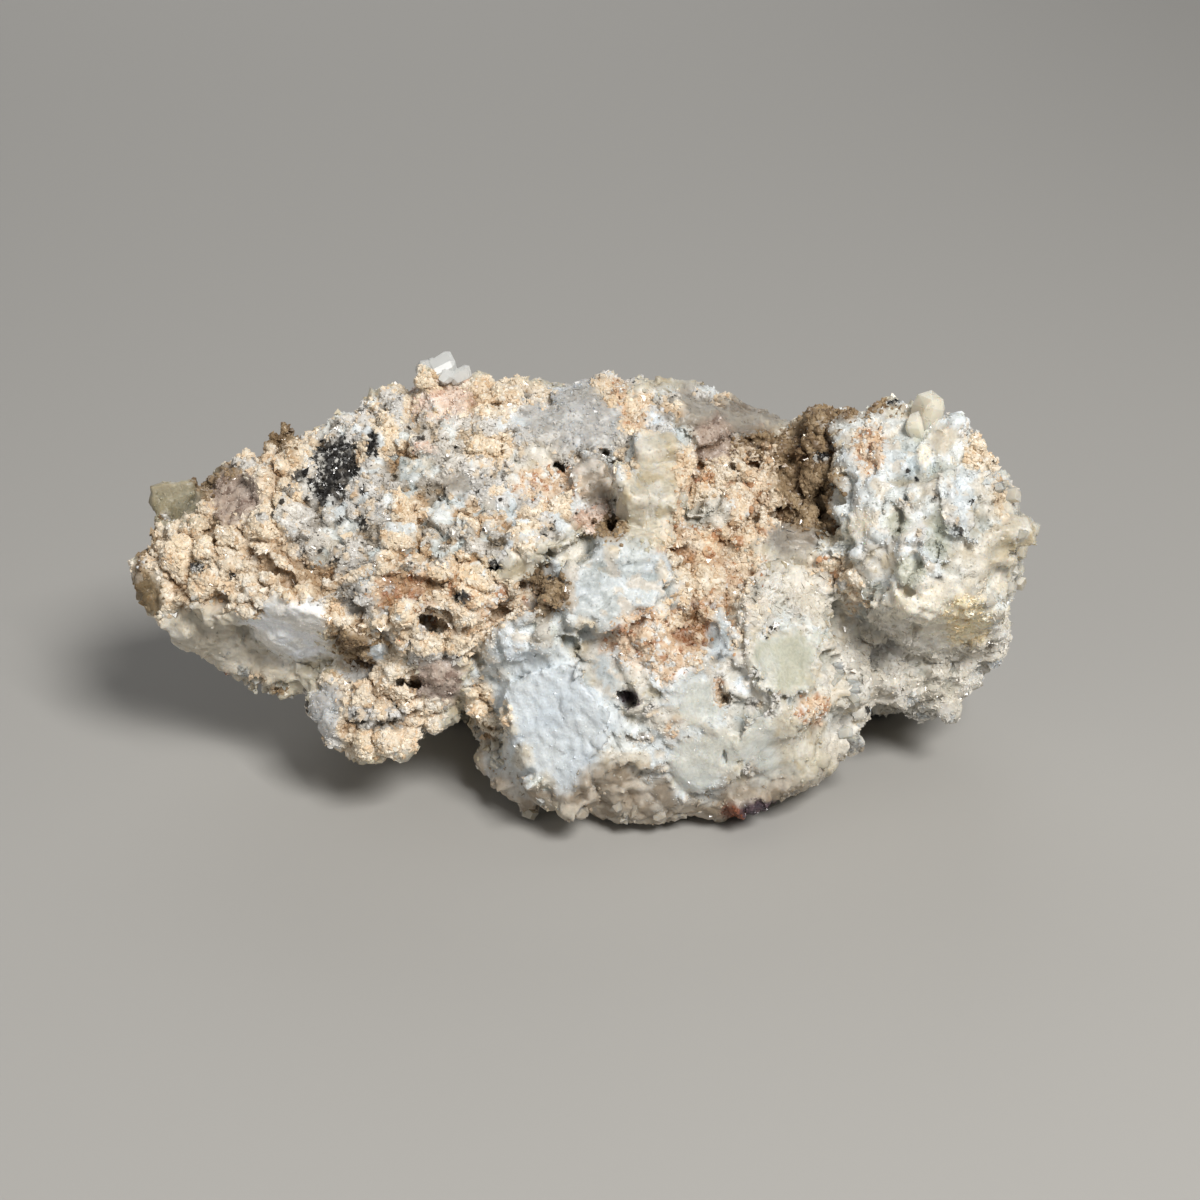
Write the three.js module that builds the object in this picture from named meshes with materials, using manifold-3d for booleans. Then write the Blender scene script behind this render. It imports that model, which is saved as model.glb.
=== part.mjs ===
// Calcite cluster: a hand-sized mineral specimen that grew as one piece.
// A lumpy mass of drusy crust carries thin plates on its front, and stubby calcite crystals on its rim,
// back and underside. They all grew into each other, so they are one solid.
// Millimetres, +Z up, +X to the viewer's right, -Y towards the viewer.
// The origin is on the table, under the middle of the specimen.
import * as THREE from "three";
import { ConvexGeometry } from "three/addons/geometries/ConvexGeometry.js";
import { ImprovedNoise } from "three/addons/math/ImprovedNoise.js";
import { MarchingCubes } from "three/addons/objects/MarchingCubes.js";
import { mergeVertices } from "three/addons/utils/BufferGeometryUtils.js";
import Module from "manifold-3d";

// Driving dimensions
const LENGTH = 115; // widest span, along X
const FACET_SIZE = 3.2; // edge of the mass's triangles
const BLEND = 1.6; // how far two lobes flow into each other where they meet
const BUMP_SIZE = 8; // width of one bump on the mass
const BUMP_HEIGHT = 1.9; // and how far it stands out
const PLATE_THICKNESS = 2.4; // half of it is sunk in the mass
const PLATE_CORNERS = 8;
const PLATE_RAGGEDNESS = 0.16; // share of a plate's size that its corners wander by
const CRYSTAL_WIDTH = 5; // a typical calcite crystal, across its prism
const CRYSTAL_LENGTH = 4; // how far its tip stands out of the mass
const CRYSTAL_ROOT = 2.5; // and how deep it is rooted
const CRYSTAL_SPREAD = 0.3; // share of its size by which it may be larger or smaller
const CRYSTAL_SPACING = 9; // between crystals on the hidden back
const CAP_EDGES = [0.7, 0.45]; // heights where the cap's faces meet the prism, as shares of the length
const ROOT_TAPER = 0.8;
const SEED = 7;

const SPECIMEN = new THREE.MeshStandardMaterial({ color: 0xd9cdb8, roughness: 0.75, metalness: 0 });

// The lobes of the mass: centre and half-sizes along X, Y and Z.
// Those with crystals carry them on their back.
const LOBES = {
  core: { at: [2, 4, 24], half: [32, 19, 17] },
  back: { at: [0, 14, 20], half: [30, 14, 18], crystals: true },
  wingRoot: { at: [-22, 2, 31], half: [16, 14, 11] },
  wing: { at: [-32, 4, 34], half: [16, 12, 9] },
  wingTip: { at: [-44, 2, 29], half: [10, 10, 7], crystals: true },
  wingPoint: { at: [-50, 1, 28], half: [5.5, 8, 5] },
  wingBack: { at: [-28, 13, 27], half: [18, 12, 12], crystals: true },
  lipLeft: { at: [-42, -6.5, 28], half: [8, 4, 3] },
  lipMiddle: { at: [-32, -9.5, 30], half: [8, 4.5, 3] },
  lipRight: { at: [-20, -12.5, 31.5], half: [9, 4.5, 3.5] },
  lowerLobe: { at: [-27, -9, 14], half: [7.5, 7.5, 5.5] },
  lowerNeck: { at: [-20, -6, 21.5], half: [9, 9, 8] },
  greyBelly: { at: [-38, 2, 18], half: [8, 9, 5], crystals: true },
  greyTip: { at: [-46, 4, 21], half: [6, 8, 3.5] },
  shoulder: { at: [-25, 7, 40.5], half: [8, 7, 5] },
  ridgeLeft: { at: [-15, 8, 44], half: [12, 9, 6] },
  ridgeMiddle: { at: [2, 10, 43.5], half: [16, 10, 6] },
  ridgeRight: { at: [17, 13, 41], half: [9, 8, 4.5] },
  terrace: { at: [-8, -6, 34], half: [16, 9, 7] },
  terraceFront: { at: [2, -10, 31], half: [10, 7, 7] },
  plateFace: { at: [12, -10, 17], half: [21, 10, 12] },
  plateFoot: { at: [11, -8, 7.5], half: [22, 11, 8] },
  plateHeel: { at: [-8, -6, 8], half: [6, 7, 4.5] },
  valleyFloor: { at: [25, 12, 28], half: [13, 11, 13] },
  valleyTan: { at: [22, 2, 34], half: [7, 6, 4] },
  knob: { at: [42, -2, 35.5], half: [11.5, 12, 11.5] },
  knobSide: { at: [50, 1, 30], half: [5.5, 8, 8], crystals: true },
  knobTop: { at: [40, 5, 45], half: [7.5, 6, 4] },
  knobBack: { at: [31, 8, 43.5], half: [4, 6, 4.5] },
  skirt: { at: [44.5, 4, 16.5], half: [8, 10, 8], crystals: true },
  skirtNeck: { at: [36, 4, 17.5], half: [9, 12, 8] },
  footRight: { at: [38, 15, 6], half: [9, 9, 7] },
  footLeft: { at: [-20, 17, 7], half: [12, 9, 8], crystals: true },
  backRight: { at: [34, 13, 23], half: [14, 11, 13], crystals: true },
};

// Thin plates that lie on the front face: X and Z of the centre, width and height
const PLATES = {
  leftPlate: { x: -3, z: 14.5, size: [12, 16] },
  upperPlate: { x: 4, z: 29, size: [13, 9] },
  windowPlate: { x: 25.5, z: 20.5, size: [10, 11] },
  lowPlate: { x: 16, z: 13, size: [10, 10] },
};

// Crystals that stand out on the rim: root, direction, width and length
const RIM_CRYSTALS = {
  topChip: { at: [-18.5, 8, 49.5], towards: [-0.3, 0, 1], width: 5.5, length: 5 },
  leftPane: { at: [-49.5, 7, 32], towards: [-0.8, 0.2, 0.6], width: 7, length: 5.5 },
  leftAmber: { at: [-53, 3, 26], towards: [-1, 0, -0.2], width: 5, length: 4.5 },
  honeyUpper: { at: [9, -1, 41], towards: [0.1, -0.7, 0.6], width: 7, length: 5.5 },
  honeyLower: { at: [8.5, -6, 36.5], towards: [0, -0.9, 0.4], width: 8, length: 6 },
  ridgeBladeInner: { at: [19, 13, 42], towards: [0.5, -0.2, 1], width: 7, length: 4 },
  ridgeBladeOuter: { at: [24, 13, 40], towards: [0.7, -0.1, 0.6], width: 6, length: 4 },
  knobBlock: { at: [43.5, 3, 46], towards: [0.2, 0, 1], width: 6, length: 4.5 },
  knobPoint: { at: [52.5, 0, 34.5], towards: [1, -0.1, 0.1], width: 5, length: 5.5 },
  knobLowPoint: { at: [52.5, 0, 28], towards: [1, -0.1, -0.1], width: 5, length: 4 },
  skirtPoint: { at: [50.5, 2, 20], towards: [1, -0.2, -0.1], width: 4.5, length: 5 },
  skirtLowPoint: { at: [49.5, 3, 15.5], towards: [1, -0.1, -0.4], width: 5, length: 4 },
  skirtTip: { at: [44, 0, 10], towards: [0.2, -0.2, -1], width: 5, length: 4 },
  cornerSpur: { at: [32, -9, 10], towards: [1, -0.2, -0.4], width: 5, length: 4.5 },
  heelSpur: { at: [-11, -9, 7], towards: [-1, -0.3, -0.2], width: 5, length: 4 },
  heelTooth: { at: [-8, -11, 4.5], towards: [-0.7, -0.5, -0.6], width: 5, length: 4 },
  bellyPoint: { at: [-43, 2, 15], towards: [-0.7, -0.1, -0.7], width: 5, length: 4 },
  bellyTooth: { at: [-37, 1, 13.5], towards: [-0.1, -0.1, -1], width: 5, length: 3.5 },
};

const wasm = await Module();
wasm.setup();
const noise = new ImprovedNoise();
const AXES = [new THREE.Vector3(1, 0, 0), new THREE.Vector3(0, 1, 0), new THREE.Vector3(0, 0, 1)];
const UP = AXES[2];
const FRONT = new THREE.Vector3(0, -1, 0);
const MASS_MIDDLE = new THREE.Vector3(0, 4, 26);
const MASS_REACH = 0.56 * LENGTH; // the mass lies within this distance of its middle along each axis
const SEARCH_STEP = 0.5;
// A lobe's surface is hidden where its outward direction leans back, or points down and hardly forward
const FACES_BACK = 0.25;
const FACES_DOWN = -0.5;
const FACES_FRONT = -0.2;

// Repeatable random numbers from 0 to 1
let state = SEED;
function random() {
  state = (state * 16807) % 2147483647;
  return state / 2147483647;
}

function toSolid(geometry) {
  const bare = new THREE.BufferGeometry().setAttribute("position", geometry.getAttribute("position"));
  if (geometry.index) bare.setIndex(geometry.index);
  const merged = mergeVertices(bare, 1e-4);
  return new wasm.Manifold(
    new wasm.Mesh({
      numProp: 3,
      vertProperties: merged.attributes.position.array,
      triVerts: new Uint32Array(merged.index.array),
    }),
  );
}

function toGeometry(solid) {
  const { numProp, vertProperties, triVerts, numVert } = solid.getMesh();
  const positions = new Float32Array(numVert * 3);
  for (let i = 0; i < numVert; i++) {
    positions.set(vertProperties.subarray(i * numProp, i * numProp + 3), i * 3);
  }
  const geometry = new THREE.BufferGeometry();
  geometry.setAttribute("position", new THREE.BufferAttribute(positions, 3));
  geometry.setIndex(new THREE.BufferAttribute(triVerts, 1));
  geometry.computeVertexNormals();
  return geometry;
}

// Distance from a point to a lobe's surface, negative inside the lobe
function lobeDistance(point, { at, half }) {
  const size = new THREE.Vector3(...half);
  const scaled = point.clone().sub(new THREE.Vector3(...at)).divide(size);
  const reach = scaled.length();
  if (reach === 0) return -Math.min(...half);
  return (reach * (reach - 1)) / scaled.divide(size).length();
}

// Height of the bumps on the mass at a point
function bump(point) {
  const q = point.clone().divideScalar(BUMP_SIZE);
  const fine = q.clone().multiplyScalar(2);
  return BUMP_HEIGHT * (noise.noise(q.x, q.y, q.z) + 0.5 * noise.noise(fine.x, fine.y, fine.z));
}

// How deep a point lies in the mass of all lobes, blended where they meet
function massDepth(point) {
  let sum = 0;
  for (const shape of Object.values(LOBES)) sum += Math.exp(-lobeDistance(point, shape) / BLEND);
  return BLEND * Math.log(Math.max(sum, Number.MIN_VALUE)) + bump(point);
}

// The lumpy mass, as the surface where the depth is nought
function mass() {
  const steps = Math.round((2 * MASS_REACH) / FACET_SIZE);
  const surface = new MarchingCubes(steps, SPECIMEN, false, false, steps ** 3);
  surface.isolation = 0;
  const point = new THREE.Vector3();
  for (let z = 0; z < steps; z++) {
    for (let y = 0; y < steps; y++) {
      for (let x = 0; x < steps; x++) {
        point.set(x, y, z).multiplyScalar(2 / steps).subScalar(1);
        point.multiplyScalar(MASS_REACH).add(MASS_MIDDLE);
        surface.setCell(x, y, z, massDepth(point));
      }
    }
  }
  surface.update();
  const corners = surface.positionArray.slice(0, surface.count * 3);
  const geometry = new THREE.BufferGeometry();
  geometry.setAttribute("position", new THREE.BufferAttribute(corners, 3));
  geometry.scale(MASS_REACH, MASS_REACH, MASS_REACH);
  geometry.translate(...MASS_MIDDLE);
  return toSolid(geometry);
}

// The point of the mass that shows from the front at a given X and Z
function frontPoint(x, z) {
  const point = new THREE.Vector3(x, -LENGTH / 2, z);
  while (massDepth(point) < 0) point.y += SEARCH_STEP;
  return point;
}

// Direction straight out of the mass at a point
function outward(point) {
  const slope = AXES.map((axis) => {
    const before = point.clone().addScaledVector(axis, -SEARCH_STEP);
    const after = point.clone().addScaledVector(axis, SEARCH_STEP);
    return massDepth(before) - massDepth(after);
  });
  return new THREE.Vector3(...slope).normalize();
}

// A thin slab with a ragged outline, lying flat on the front of the mass
function plate({ x, z, size }) {
  const [width, height] = size;
  const corners = [];
  for (let k = 0; k < PLATE_CORNERS; k++) {
    const angle = ((k + 0.5) * 2 * Math.PI) / PLATE_CORNERS;
    const reach = 0.5 + PLATE_RAGGEDNESS * (random() - 0.5);
    corners.push(new THREE.Vector2(reach * width * Math.cos(angle), reach * height * Math.sin(angle)));
  }
  const outline = new THREE.Shape(corners);
  const geometry = new THREE.ExtrudeGeometry(outline, { depth: PLATE_THICKNESS, bevelEnabled: false });
  geometry.translate(0, 0, -PLATE_THICKNESS / 2);
  geometry.rotateX(Math.PI / 2);
  const middle = frontPoint(x, z);
  geometry.applyQuaternion(new THREE.Quaternion().setFromUnitVectors(FRONT, outward(middle)));
  geometry.translate(...middle);
  return toSolid(geometry);
}

// A stubby six-sided calcite prism under a three-faced cap
function crystal({ at, towards, width, length }) {
  const points = [new THREE.Vector3(0, 0, length)];
  const twist = random() * Math.PI;
  for (let k = 0; k < 6; k++) {
    const angle = twist + (k * Math.PI) / 3;
    const shoulder = length * CAP_EDGES[k % 2];
    const x = (width / 2) * Math.cos(angle);
    const y = (width / 2) * Math.sin(angle);
    points.push(new THREE.Vector3(x, y, shoulder));
    points.push(new THREE.Vector3(ROOT_TAPER * x, ROOT_TAPER * y, -CRYSTAL_ROOT));
  }
  const geometry = new ConvexGeometry(points);
  const direction = new THREE.Vector3(...towards).normalize();
  geometry.applyQuaternion(new THREE.Quaternion().setFromUnitVectors(UP, direction));
  geometry.translate(...at);
  return toSolid(geometry);
}

// Crystals spaced evenly over the part of a lobe that faces back or down
function backCrystals({ at, half }) {
  const [a, b, c] = half;
  const area = 4 * Math.PI * ((a * b + b * c + c * a) / 3);
  const count = Math.round(area / CRYSTAL_SPACING ** 2);
  const made = [];
  for (let i = 0; i < count; i++) {
    const z = 1 - (2 * i + 1) / count;
    const angle = i * Math.PI * (3 - Math.sqrt(5));
    const ring = Math.sqrt(1 - z * z);
    const direction = [ring * Math.cos(angle), ring * Math.sin(angle), z];
    const root = direction.map((d, k) => at[k] + d * half[k]);
    const scale = 1 + CRYSTAL_SPREAD * (2 * random() - 1);
    const hidden = direction[1] > FACES_BACK || (direction[2] < FACES_DOWN && direction[1] > FACES_FRONT);
    if (!hidden || root[2] < CRYSTAL_LENGTH / 2) continue;
    const towards = direction.map((d, k) => d / half[k]);
    made.push(crystal({ at: root, towards, width: scale * CRYSTAL_WIDTH, length: scale * CRYSTAL_LENGTH }));
  }
  return made;
}

// Everything below the table is cut off, which leaves flat resting faces on the feet
function belowTable() {
  const slab = new THREE.BoxGeometry(2 * LENGTH, 2 * LENGTH, LENGTH);
  slab.translate(0, 0, -LENGTH / 2);
  return toSolid(slab);
}

// Centre the specimen over the origin
function centre(geometry) {
  geometry.computeBoundingBox();
  const middle = geometry.boundingBox.getCenter(new THREE.Vector3());
  return geometry.translate(-middle.x, -middle.y, 0);
}

const grown = [
  ...Object.values(PLATES).map(plate),
  ...Object.values(RIM_CRYSTALS).map(crystal),
  ...Object.values(LOBES).filter((shape) => shape.crystals).flatMap(backCrystals),
];
const specimen = grown.reduce((whole, piece) => whole.add(piece), mass()).subtract(belowTable());

const cluster = new THREE.Mesh(centre(toGeometry(specimen)), SPECIMEN);
cluster.name = "calcite_cluster";

const group = new THREE.Group();
group.add(cluster);
export default group;
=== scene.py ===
# Calcite cluster: the looks of a drusy calcite specimen, grown on the frame's solid.
# Lengths are millimetres until a mesh is made, and metres from then on.
# A place on the front is a pixel of the photograph's frame. The point of the model behind that pixel is found
# along the camera's ray, so that every feature sits on the surface.
import math
from itertools import chain, product
import bmesh
import bpy
import numpy as np
import openvdb
from mathutils import Euler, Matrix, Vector


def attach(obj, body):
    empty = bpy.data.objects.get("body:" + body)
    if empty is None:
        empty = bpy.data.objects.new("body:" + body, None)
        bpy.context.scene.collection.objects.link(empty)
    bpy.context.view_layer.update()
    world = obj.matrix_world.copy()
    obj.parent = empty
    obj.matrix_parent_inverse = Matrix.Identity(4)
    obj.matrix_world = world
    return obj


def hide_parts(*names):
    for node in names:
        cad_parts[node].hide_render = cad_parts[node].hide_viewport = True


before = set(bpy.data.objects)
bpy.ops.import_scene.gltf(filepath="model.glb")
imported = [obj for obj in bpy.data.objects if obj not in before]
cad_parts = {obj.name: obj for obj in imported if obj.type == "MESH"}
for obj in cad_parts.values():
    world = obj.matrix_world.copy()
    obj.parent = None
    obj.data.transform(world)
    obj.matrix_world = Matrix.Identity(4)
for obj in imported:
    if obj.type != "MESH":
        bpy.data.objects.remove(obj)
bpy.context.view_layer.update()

NODE = "calcite_cluster"
BODY = "root"
MM = 0.001
SEED = 20

# The photograph's camera
PHOTO_SIZE = 1200
FOCAL_PX = 2400
SENSOR_MM = 36
CAMERA_ELEVATION = math.radians(28)
CAMERA_DISTANCE = 305
CAMERA_TARGET = np.array([1.73, -4.78, 24.5])
MM_PER_PX = CAMERA_DISTANCE / FOCAL_PX

# The distance field that the surface is shaped in: width of its cells, how many cells it holds to each side
# of the surface, how many empty ones lie round them, and the blur that rounds off the solid's facets
VOXEL = 0.42
BAND_VOXELS = 12
FIELD_MARGIN = 8
FACET_BLUR = 0.9
# How far behind what the camera sees the front's minerals go on
FRONT_REACH = 6.0

# Where the camera's rays start and end, how many steps they take, and the share of the distance a step goes
RAY_START = CAMERA_DISTANCE - 80.0
RAY_END = CAMERA_DISTANCE + 200.0
RAY_STEPS = 160
RAY_PACE = 0.7

# Triangle limits
MASS_TRIANGLES = 194000
PIECE_TRIANGLES = 192000


# Repeatable noise

HASH_MASK = np.uint64(0xFFFFFFFF)
HASH_AXES = (374761393, 668265263, 1440670441)
HASH_CHANNEL = 974634541
HASH_MIX = ((15, 2246822519), (13, 3266489917))
# Channels keep one use of noise apart from the others. A use may take several of them in a row.
CHANNEL = dict(
    sheet=11, plate=14, lump=31, box=32, box_skin=36, hole=41, path=51, finger=53, border_aside=61,
    border_down=65, relief=70, slight_relief=74, clump=80, knob=90, grit=100, pit=101, step=104,
    fine_step=105, spot_edge=110, spot=120, stain=130, warmth=133, face=140, small_face=150, strewn=170,
)


def hash_cells(cells, channel):
    """A repeatable random number from 0 to 1 for each whole-number cell."""
    mixed = np.uint64(channel * HASH_CHANNEL % 2**32)
    for axis, factor in enumerate(HASH_AXES):
        mixed = mixed + cells[..., axis].astype(np.uint64) * np.uint64(factor)
    mixed = mixed & HASH_MASK
    for shift, factor in HASH_MIX:
        mixed = ((mixed ^ (mixed >> np.uint64(shift))) * np.uint64(factor)) & HASH_MASK
    return (mixed ^ (mixed >> np.uint64(16))).astype(np.float64) / 2.0**32


def hash_triples(cells, channel):
    """Three such numbers for each cell."""
    return np.stack([hash_cells(cells, channel + k) for k in range(3)], axis=1)


def smooth(x, low=0.0, high=1.0):
    """0 below low, 1 above high, and a smooth step between them."""
    t = np.clip((x - low) / (high - low), 0, 1)
    return t * t * (3 - 2 * t)


def corner_shares(part):
    """The eight corners of a cell, and each one's share at points that lie that far into the cell."""
    for corner in product((0, 1), repeat=3):
        corner = np.array(corner)
        yield corner, np.where(corner == 1, part, 1 - part).prod(axis=1)


def noise(points, size, channel):
    """Smooth noise from -1 to 1 with bumps about size wide."""
    scaled = points / size
    cell = np.floor(scaled).astype(np.int64)
    total = np.zeros(len(points))
    for corner, share in corner_shares(smooth(scaled - cell)):
        total += share * hash_cells(cell + corner, channel)
    return 2 * total - 1


def near_spots(points, size, channel):
    """The cells round each point, and its offset from the spot in each of them, as a share of size."""
    scaled = points / size
    home = np.floor(scaled).astype(np.int64)
    for step in product((-1, 0, 1), repeat=3):
        cell = home + np.array(step)
        spot = cell + hash_triples(cell, channel)
        yield cell, scaled - spot


def scatter(points, size, channel):
    """Distances to the nearest and the second nearest of spots scattered about size apart, as shares of size,
    and a random number that belongs to the nearest spot."""
    nearest = np.full(len(points), np.inf)
    second = np.full(len(points), np.inf)
    owner = np.zeros(len(points))
    for cell, offset in near_spots(points, size, channel):
        gap = np.linalg.norm(offset, axis=1)
        closer = gap < nearest
        second = np.where(closer, nearest, np.minimum(second, gap))
        owner = np.where(closer, hash_cells(cell, channel + 3), owner)
        nearest = np.minimum(nearest, gap)
    return nearest, second, owner


def facets(points, size, channel):
    """Heights of tilted flat faces about size wide, as shares of size."""
    nearest = np.full(len(points), np.inf)
    height = np.zeros(len(points))
    for cell, offset in near_spots(points, size, channel):
        tilt = 2 * hash_triples(cell, channel + 3) - 1
        gap = np.linalg.norm(offset, axis=1)
        height = np.where(gap < nearest, (offset * tilt).sum(axis=1), height)
        nearest = np.minimum(nearest, gap)
    return height


def wander(points, size, amount, channel):
    """The points, pushed about by noise."""
    return points + amount * np.stack([noise(points, size, channel + k) for k in range(3)], axis=1)


# Directions

def unit(vectors):
    return vectors / np.maximum(np.linalg.norm(vectors, axis=-1, keepdims=True), 1e-9)


def side_axes(directions):
    """Two directions across each direction."""
    helper = np.where(np.abs(directions[:, :1]) < 0.8, [[1.0, 0, 0]], [[0, 1.0, 0]])
    first = unit(np.cross(directions, helper))
    return first, np.cross(directions, first)


# The camera and the photograph's pixels

FORWARD = np.array([0, math.cos(CAMERA_ELEVATION), -math.sin(CAMERA_ELEVATION)])
RIGHT = np.array([1.0, 0, 0])
UPWARD = np.array([0, math.sin(CAMERA_ELEVATION), math.cos(CAMERA_ELEVATION)])
EYE = CAMERA_TARGET - CAMERA_DISTANCE * FORWARD


def to_photo(points):
    """Pixel columns and rows and the depth from the camera for points of the model."""
    offset = points - EYE
    depth = offset @ FORWARD
    column = PHOTO_SIZE / 2 + FOCAL_PX * (offset @ RIGHT) / depth
    row = PHOTO_SIZE / 2 - FOCAL_PX * (offset @ UPWARD) / depth
    return column, row, depth


def ray_directions(pixels):
    """Directions from the camera through pixels, one unit deep."""
    pixels = np.asarray(pixels, dtype=float)
    across = (pixels[:, 0] - PHOTO_SIZE / 2) / FOCAL_PX
    down = (pixels[:, 1] - PHOTO_SIZE / 2) / FOCAL_PX
    return FORWARD + across[:, None] * RIGHT - down[:, None] * UPWARD


# The distance field

class Field:
    """Distances to a surface on a grid, negative inside it."""

    def __init__(self, values, corner):
        self.values = values
        self.corner = np.array(corner)

    def sample(self, points):
        """Distances at points, mixed from the eight cells round each."""
        place = np.clip(points / VOXEL - self.corner, 0, np.array(self.values.shape) - 1.001)
        cell = place.astype(np.int64)
        total = np.zeros(len(points))
        for corner, share in corner_shares(place - cell):
            i, j, k = (cell + corner).T
            total += share * self.values[i, j, k]
        return total

    def normals(self, points):
        steps = VOXEL * np.eye(3)
        slope = [self.sample(points + step) - self.sample(points - step) for step in steps]
        return unit(np.stack(slope, axis=1))

    def hits(self, pixels):
        """Where the camera's rays through pixels meet the surface. A ray that misses ends far behind it."""
        directions = ray_directions(pixels)
        depth = np.full(len(directions), RAY_START)
        for _ in range(RAY_STEPS):
            depth = depth + RAY_PACE * self.sample(EYE + depth[:, None] * directions)
            depth = np.minimum(depth, RAY_END)
        return EYE + depth[:, None] * directions

    def around(self, places, margin):
        """The slices of the grid in a box that goes that far round places, their points and their values."""
        low = np.floor((places.min(axis=0) - margin) / VOXEL).astype(int) - self.corner
        high = np.ceil((places.max(axis=0) + margin) / VOXEL).astype(int) - self.corner + 1
        low = np.maximum(low, 0)
        high = np.minimum(high, self.values.shape)
        slices = tuple(slice(a, b) for a, b in zip(low, high))
        axes = [VOXEL * (self.corner[k] + np.arange(low[k], high[k])) for k in range(3)]
        points = np.stack(np.meshgrid(*axes, indexing="ij"), axis=-1)
        return slices, points.reshape(-1, 3), self.values[slices].reshape(-1)

    def put(self, slices, values):
        """Stores values in slices of the grid."""
        self.values[slices] = values.reshape(self.values[slices].shape)


def mesh_arrays(mesh):
    """A mesh's points in metres, and its triangles."""
    mesh.calc_loop_triangles()
    points = np.empty(len(mesh.vertices) * 3, np.float32)
    mesh.vertices.foreach_get("co", points)
    corners = np.empty(len(mesh.loop_triangles) * 3, np.int32)
    mesh.loop_triangles.foreach_get("vertices", corners)
    return points.reshape(-1, 3), corners.reshape(-1, 3)


def blurred(values, width):
    """The values with a Gaussian blur of that many grid steps."""
    reach = math.ceil(3 * width)
    weights = np.exp(-0.5 * (np.arange(-reach, reach + 1) / width) ** 2)
    weights = (weights / weights.sum()).astype(np.float32)
    for axis in range(3):
        padded = np.pad(values, [(reach, reach) if k == axis else (0, 0) for k in range(3)], mode="edge")
        length = values.shape[axis]
        total = np.zeros_like(values)
        for k, weight in enumerate(weights):
            total += weight * np.take(padded, range(k, k + length), axis=axis)
        values = total
    return values


def solid_field():
    """The field of the frame's solid, with its facets rounded off."""
    points, triangles = mesh_arrays(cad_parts[NODE].data)
    grid = openvdb.FloatGrid.createLevelSetFromPolygons(
        np.ascontiguousarray(points / MM),
        triangles=triangles.astype(np.uint32),
        transform=openvdb.createLinearTransform(voxelSize=VOXEL),
        halfWidth=BAND_VOXELS,
    )
    low, high = grid.evalActiveVoxelBoundingBox()
    corner = [a - FIELD_MARGIN for a in low]
    shape = [b - a + 1 + 2 * FIELD_MARGIN for a, b in zip(low, high)]
    values = np.empty(shape, np.float32)
    grid.copyToArray(values, ijk=tuple(corner))
    return Field(blurred(values, FACET_BLUR / VOXEL), corner)


# Shapes on the front, placed by pixel

# How far round each kind of shape the field is changed
SHEET_MARGIN = 5
PLATE_MARGIN = 3
LUMP_MARGIN = 2
HOLE_MARGIN = 3
BOX_MARGIN = 1
PATH_MARGIN = 2
FINGER_MARGIN = 2
# How far from a sheet's plane the surface is drawn to it, and how far behind the plane a sheet reaches
SHEET_PULL = 4.0
SHEET_DEPTH = 4.5
# Noise that makes outlines ragged, by pixels, and blocks and fingers crooked, by millimetres: width of its
# bumps, amount, channel
SHEET_EDGE = (2.6, 5.0, CHANNEL["sheet"])
PLATE_EDGE = (2.2, 5.0, CHANNEL["plate"])
BOX_WANDER = (2.0, 0.6, CHANNEL["box"])
FINGER_WANDER = (1.6, 0.25, CHANNEL["finger"])
# Bumps on a lump: height and width as shares of its radius
LUMP_BUMPS = 0.18
LUMP_BUMP_SIZE = 0.6
# Bumps in a hollow and along a ridge: height as a share of its radius, width in millimetres
HOLE_BUMPS = 0.5
HOLE_BUMP_SIZE = 1.3
PATH_BUMPS = 0.35
PATH_BUMP_SIZE = 2.4
# Bumps on a block: height and width in millimetres
BOX_BUMPS = 0.12
BOX_BUMP_SIZE = 0.9
BOX_ROUNDING = 0.55
BOX_SKEW = 0.2
# Widths of the rounded seams between the mass and what grows on it
LUMP_SEAM = 0.8
FINGER_SEAM = 0.4
# How square a finger is from 0 to 1, how much narrower its tip is, and how slanted its end is
FINGER_SQUARE = 0.6
FINGER_TAPER = 0.35
FINGER_SLANT = 0.5
# The share of an outline that its plane is fitted to
PLANE_SHARE = 0.65


def stretch_distance(points, a, b):
    """Distance to the straight stretch from a to b."""
    along = np.clip(((points - a) @ (b - a)) / ((b - a) @ (b - a)), 0, 1)
    return np.linalg.norm(points - a - along[:, None] * (b - a), axis=1)


def outline_distance(columns, rows, outline):
    """Distance in pixels to a closed outline, negative inside it."""
    here = np.stack([columns, rows], axis=1)
    distance = np.full(len(here), np.inf)
    inside = np.zeros(len(here), bool)
    corners = np.array(outline, dtype=float)
    for a, b in zip(corners, np.roll(corners, -1, axis=0)):
        distance = np.minimum(distance, stretch_distance(here, a, b))
        crosses = (a[1] > here[:, 1]) != (b[1] > here[:, 1])
        reach = a[0] + (here[:, 1] - a[1]) * (b[0] - a[0]) / (b[1] - a[1] if b[1] != a[1] else 1)
        inside ^= crosses & (here[:, 0] < reach)
    return np.where(inside, -distance, distance)


def ragged(points, size, amount, channel):
    """A wander in pixels that makes an outline ragged."""
    return amount * (noise(points, size, channel) + 0.5 * noise(points, size / 2.7, channel + 1))


def plane_behind(field, outline):
    """The middle and the outward direction of the plane that best fits the surface behind an outline."""
    outline = np.array(outline, dtype=float)
    inner = outline.mean(axis=0) + PLANE_SHARE * (outline - outline.mean(axis=0))
    places = field.hits(inner)
    middle = places.mean(axis=0)
    normal = np.linalg.svd(places - middle)[2][2]
    return middle, normal * -np.sign(normal @ FORWARD)


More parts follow.
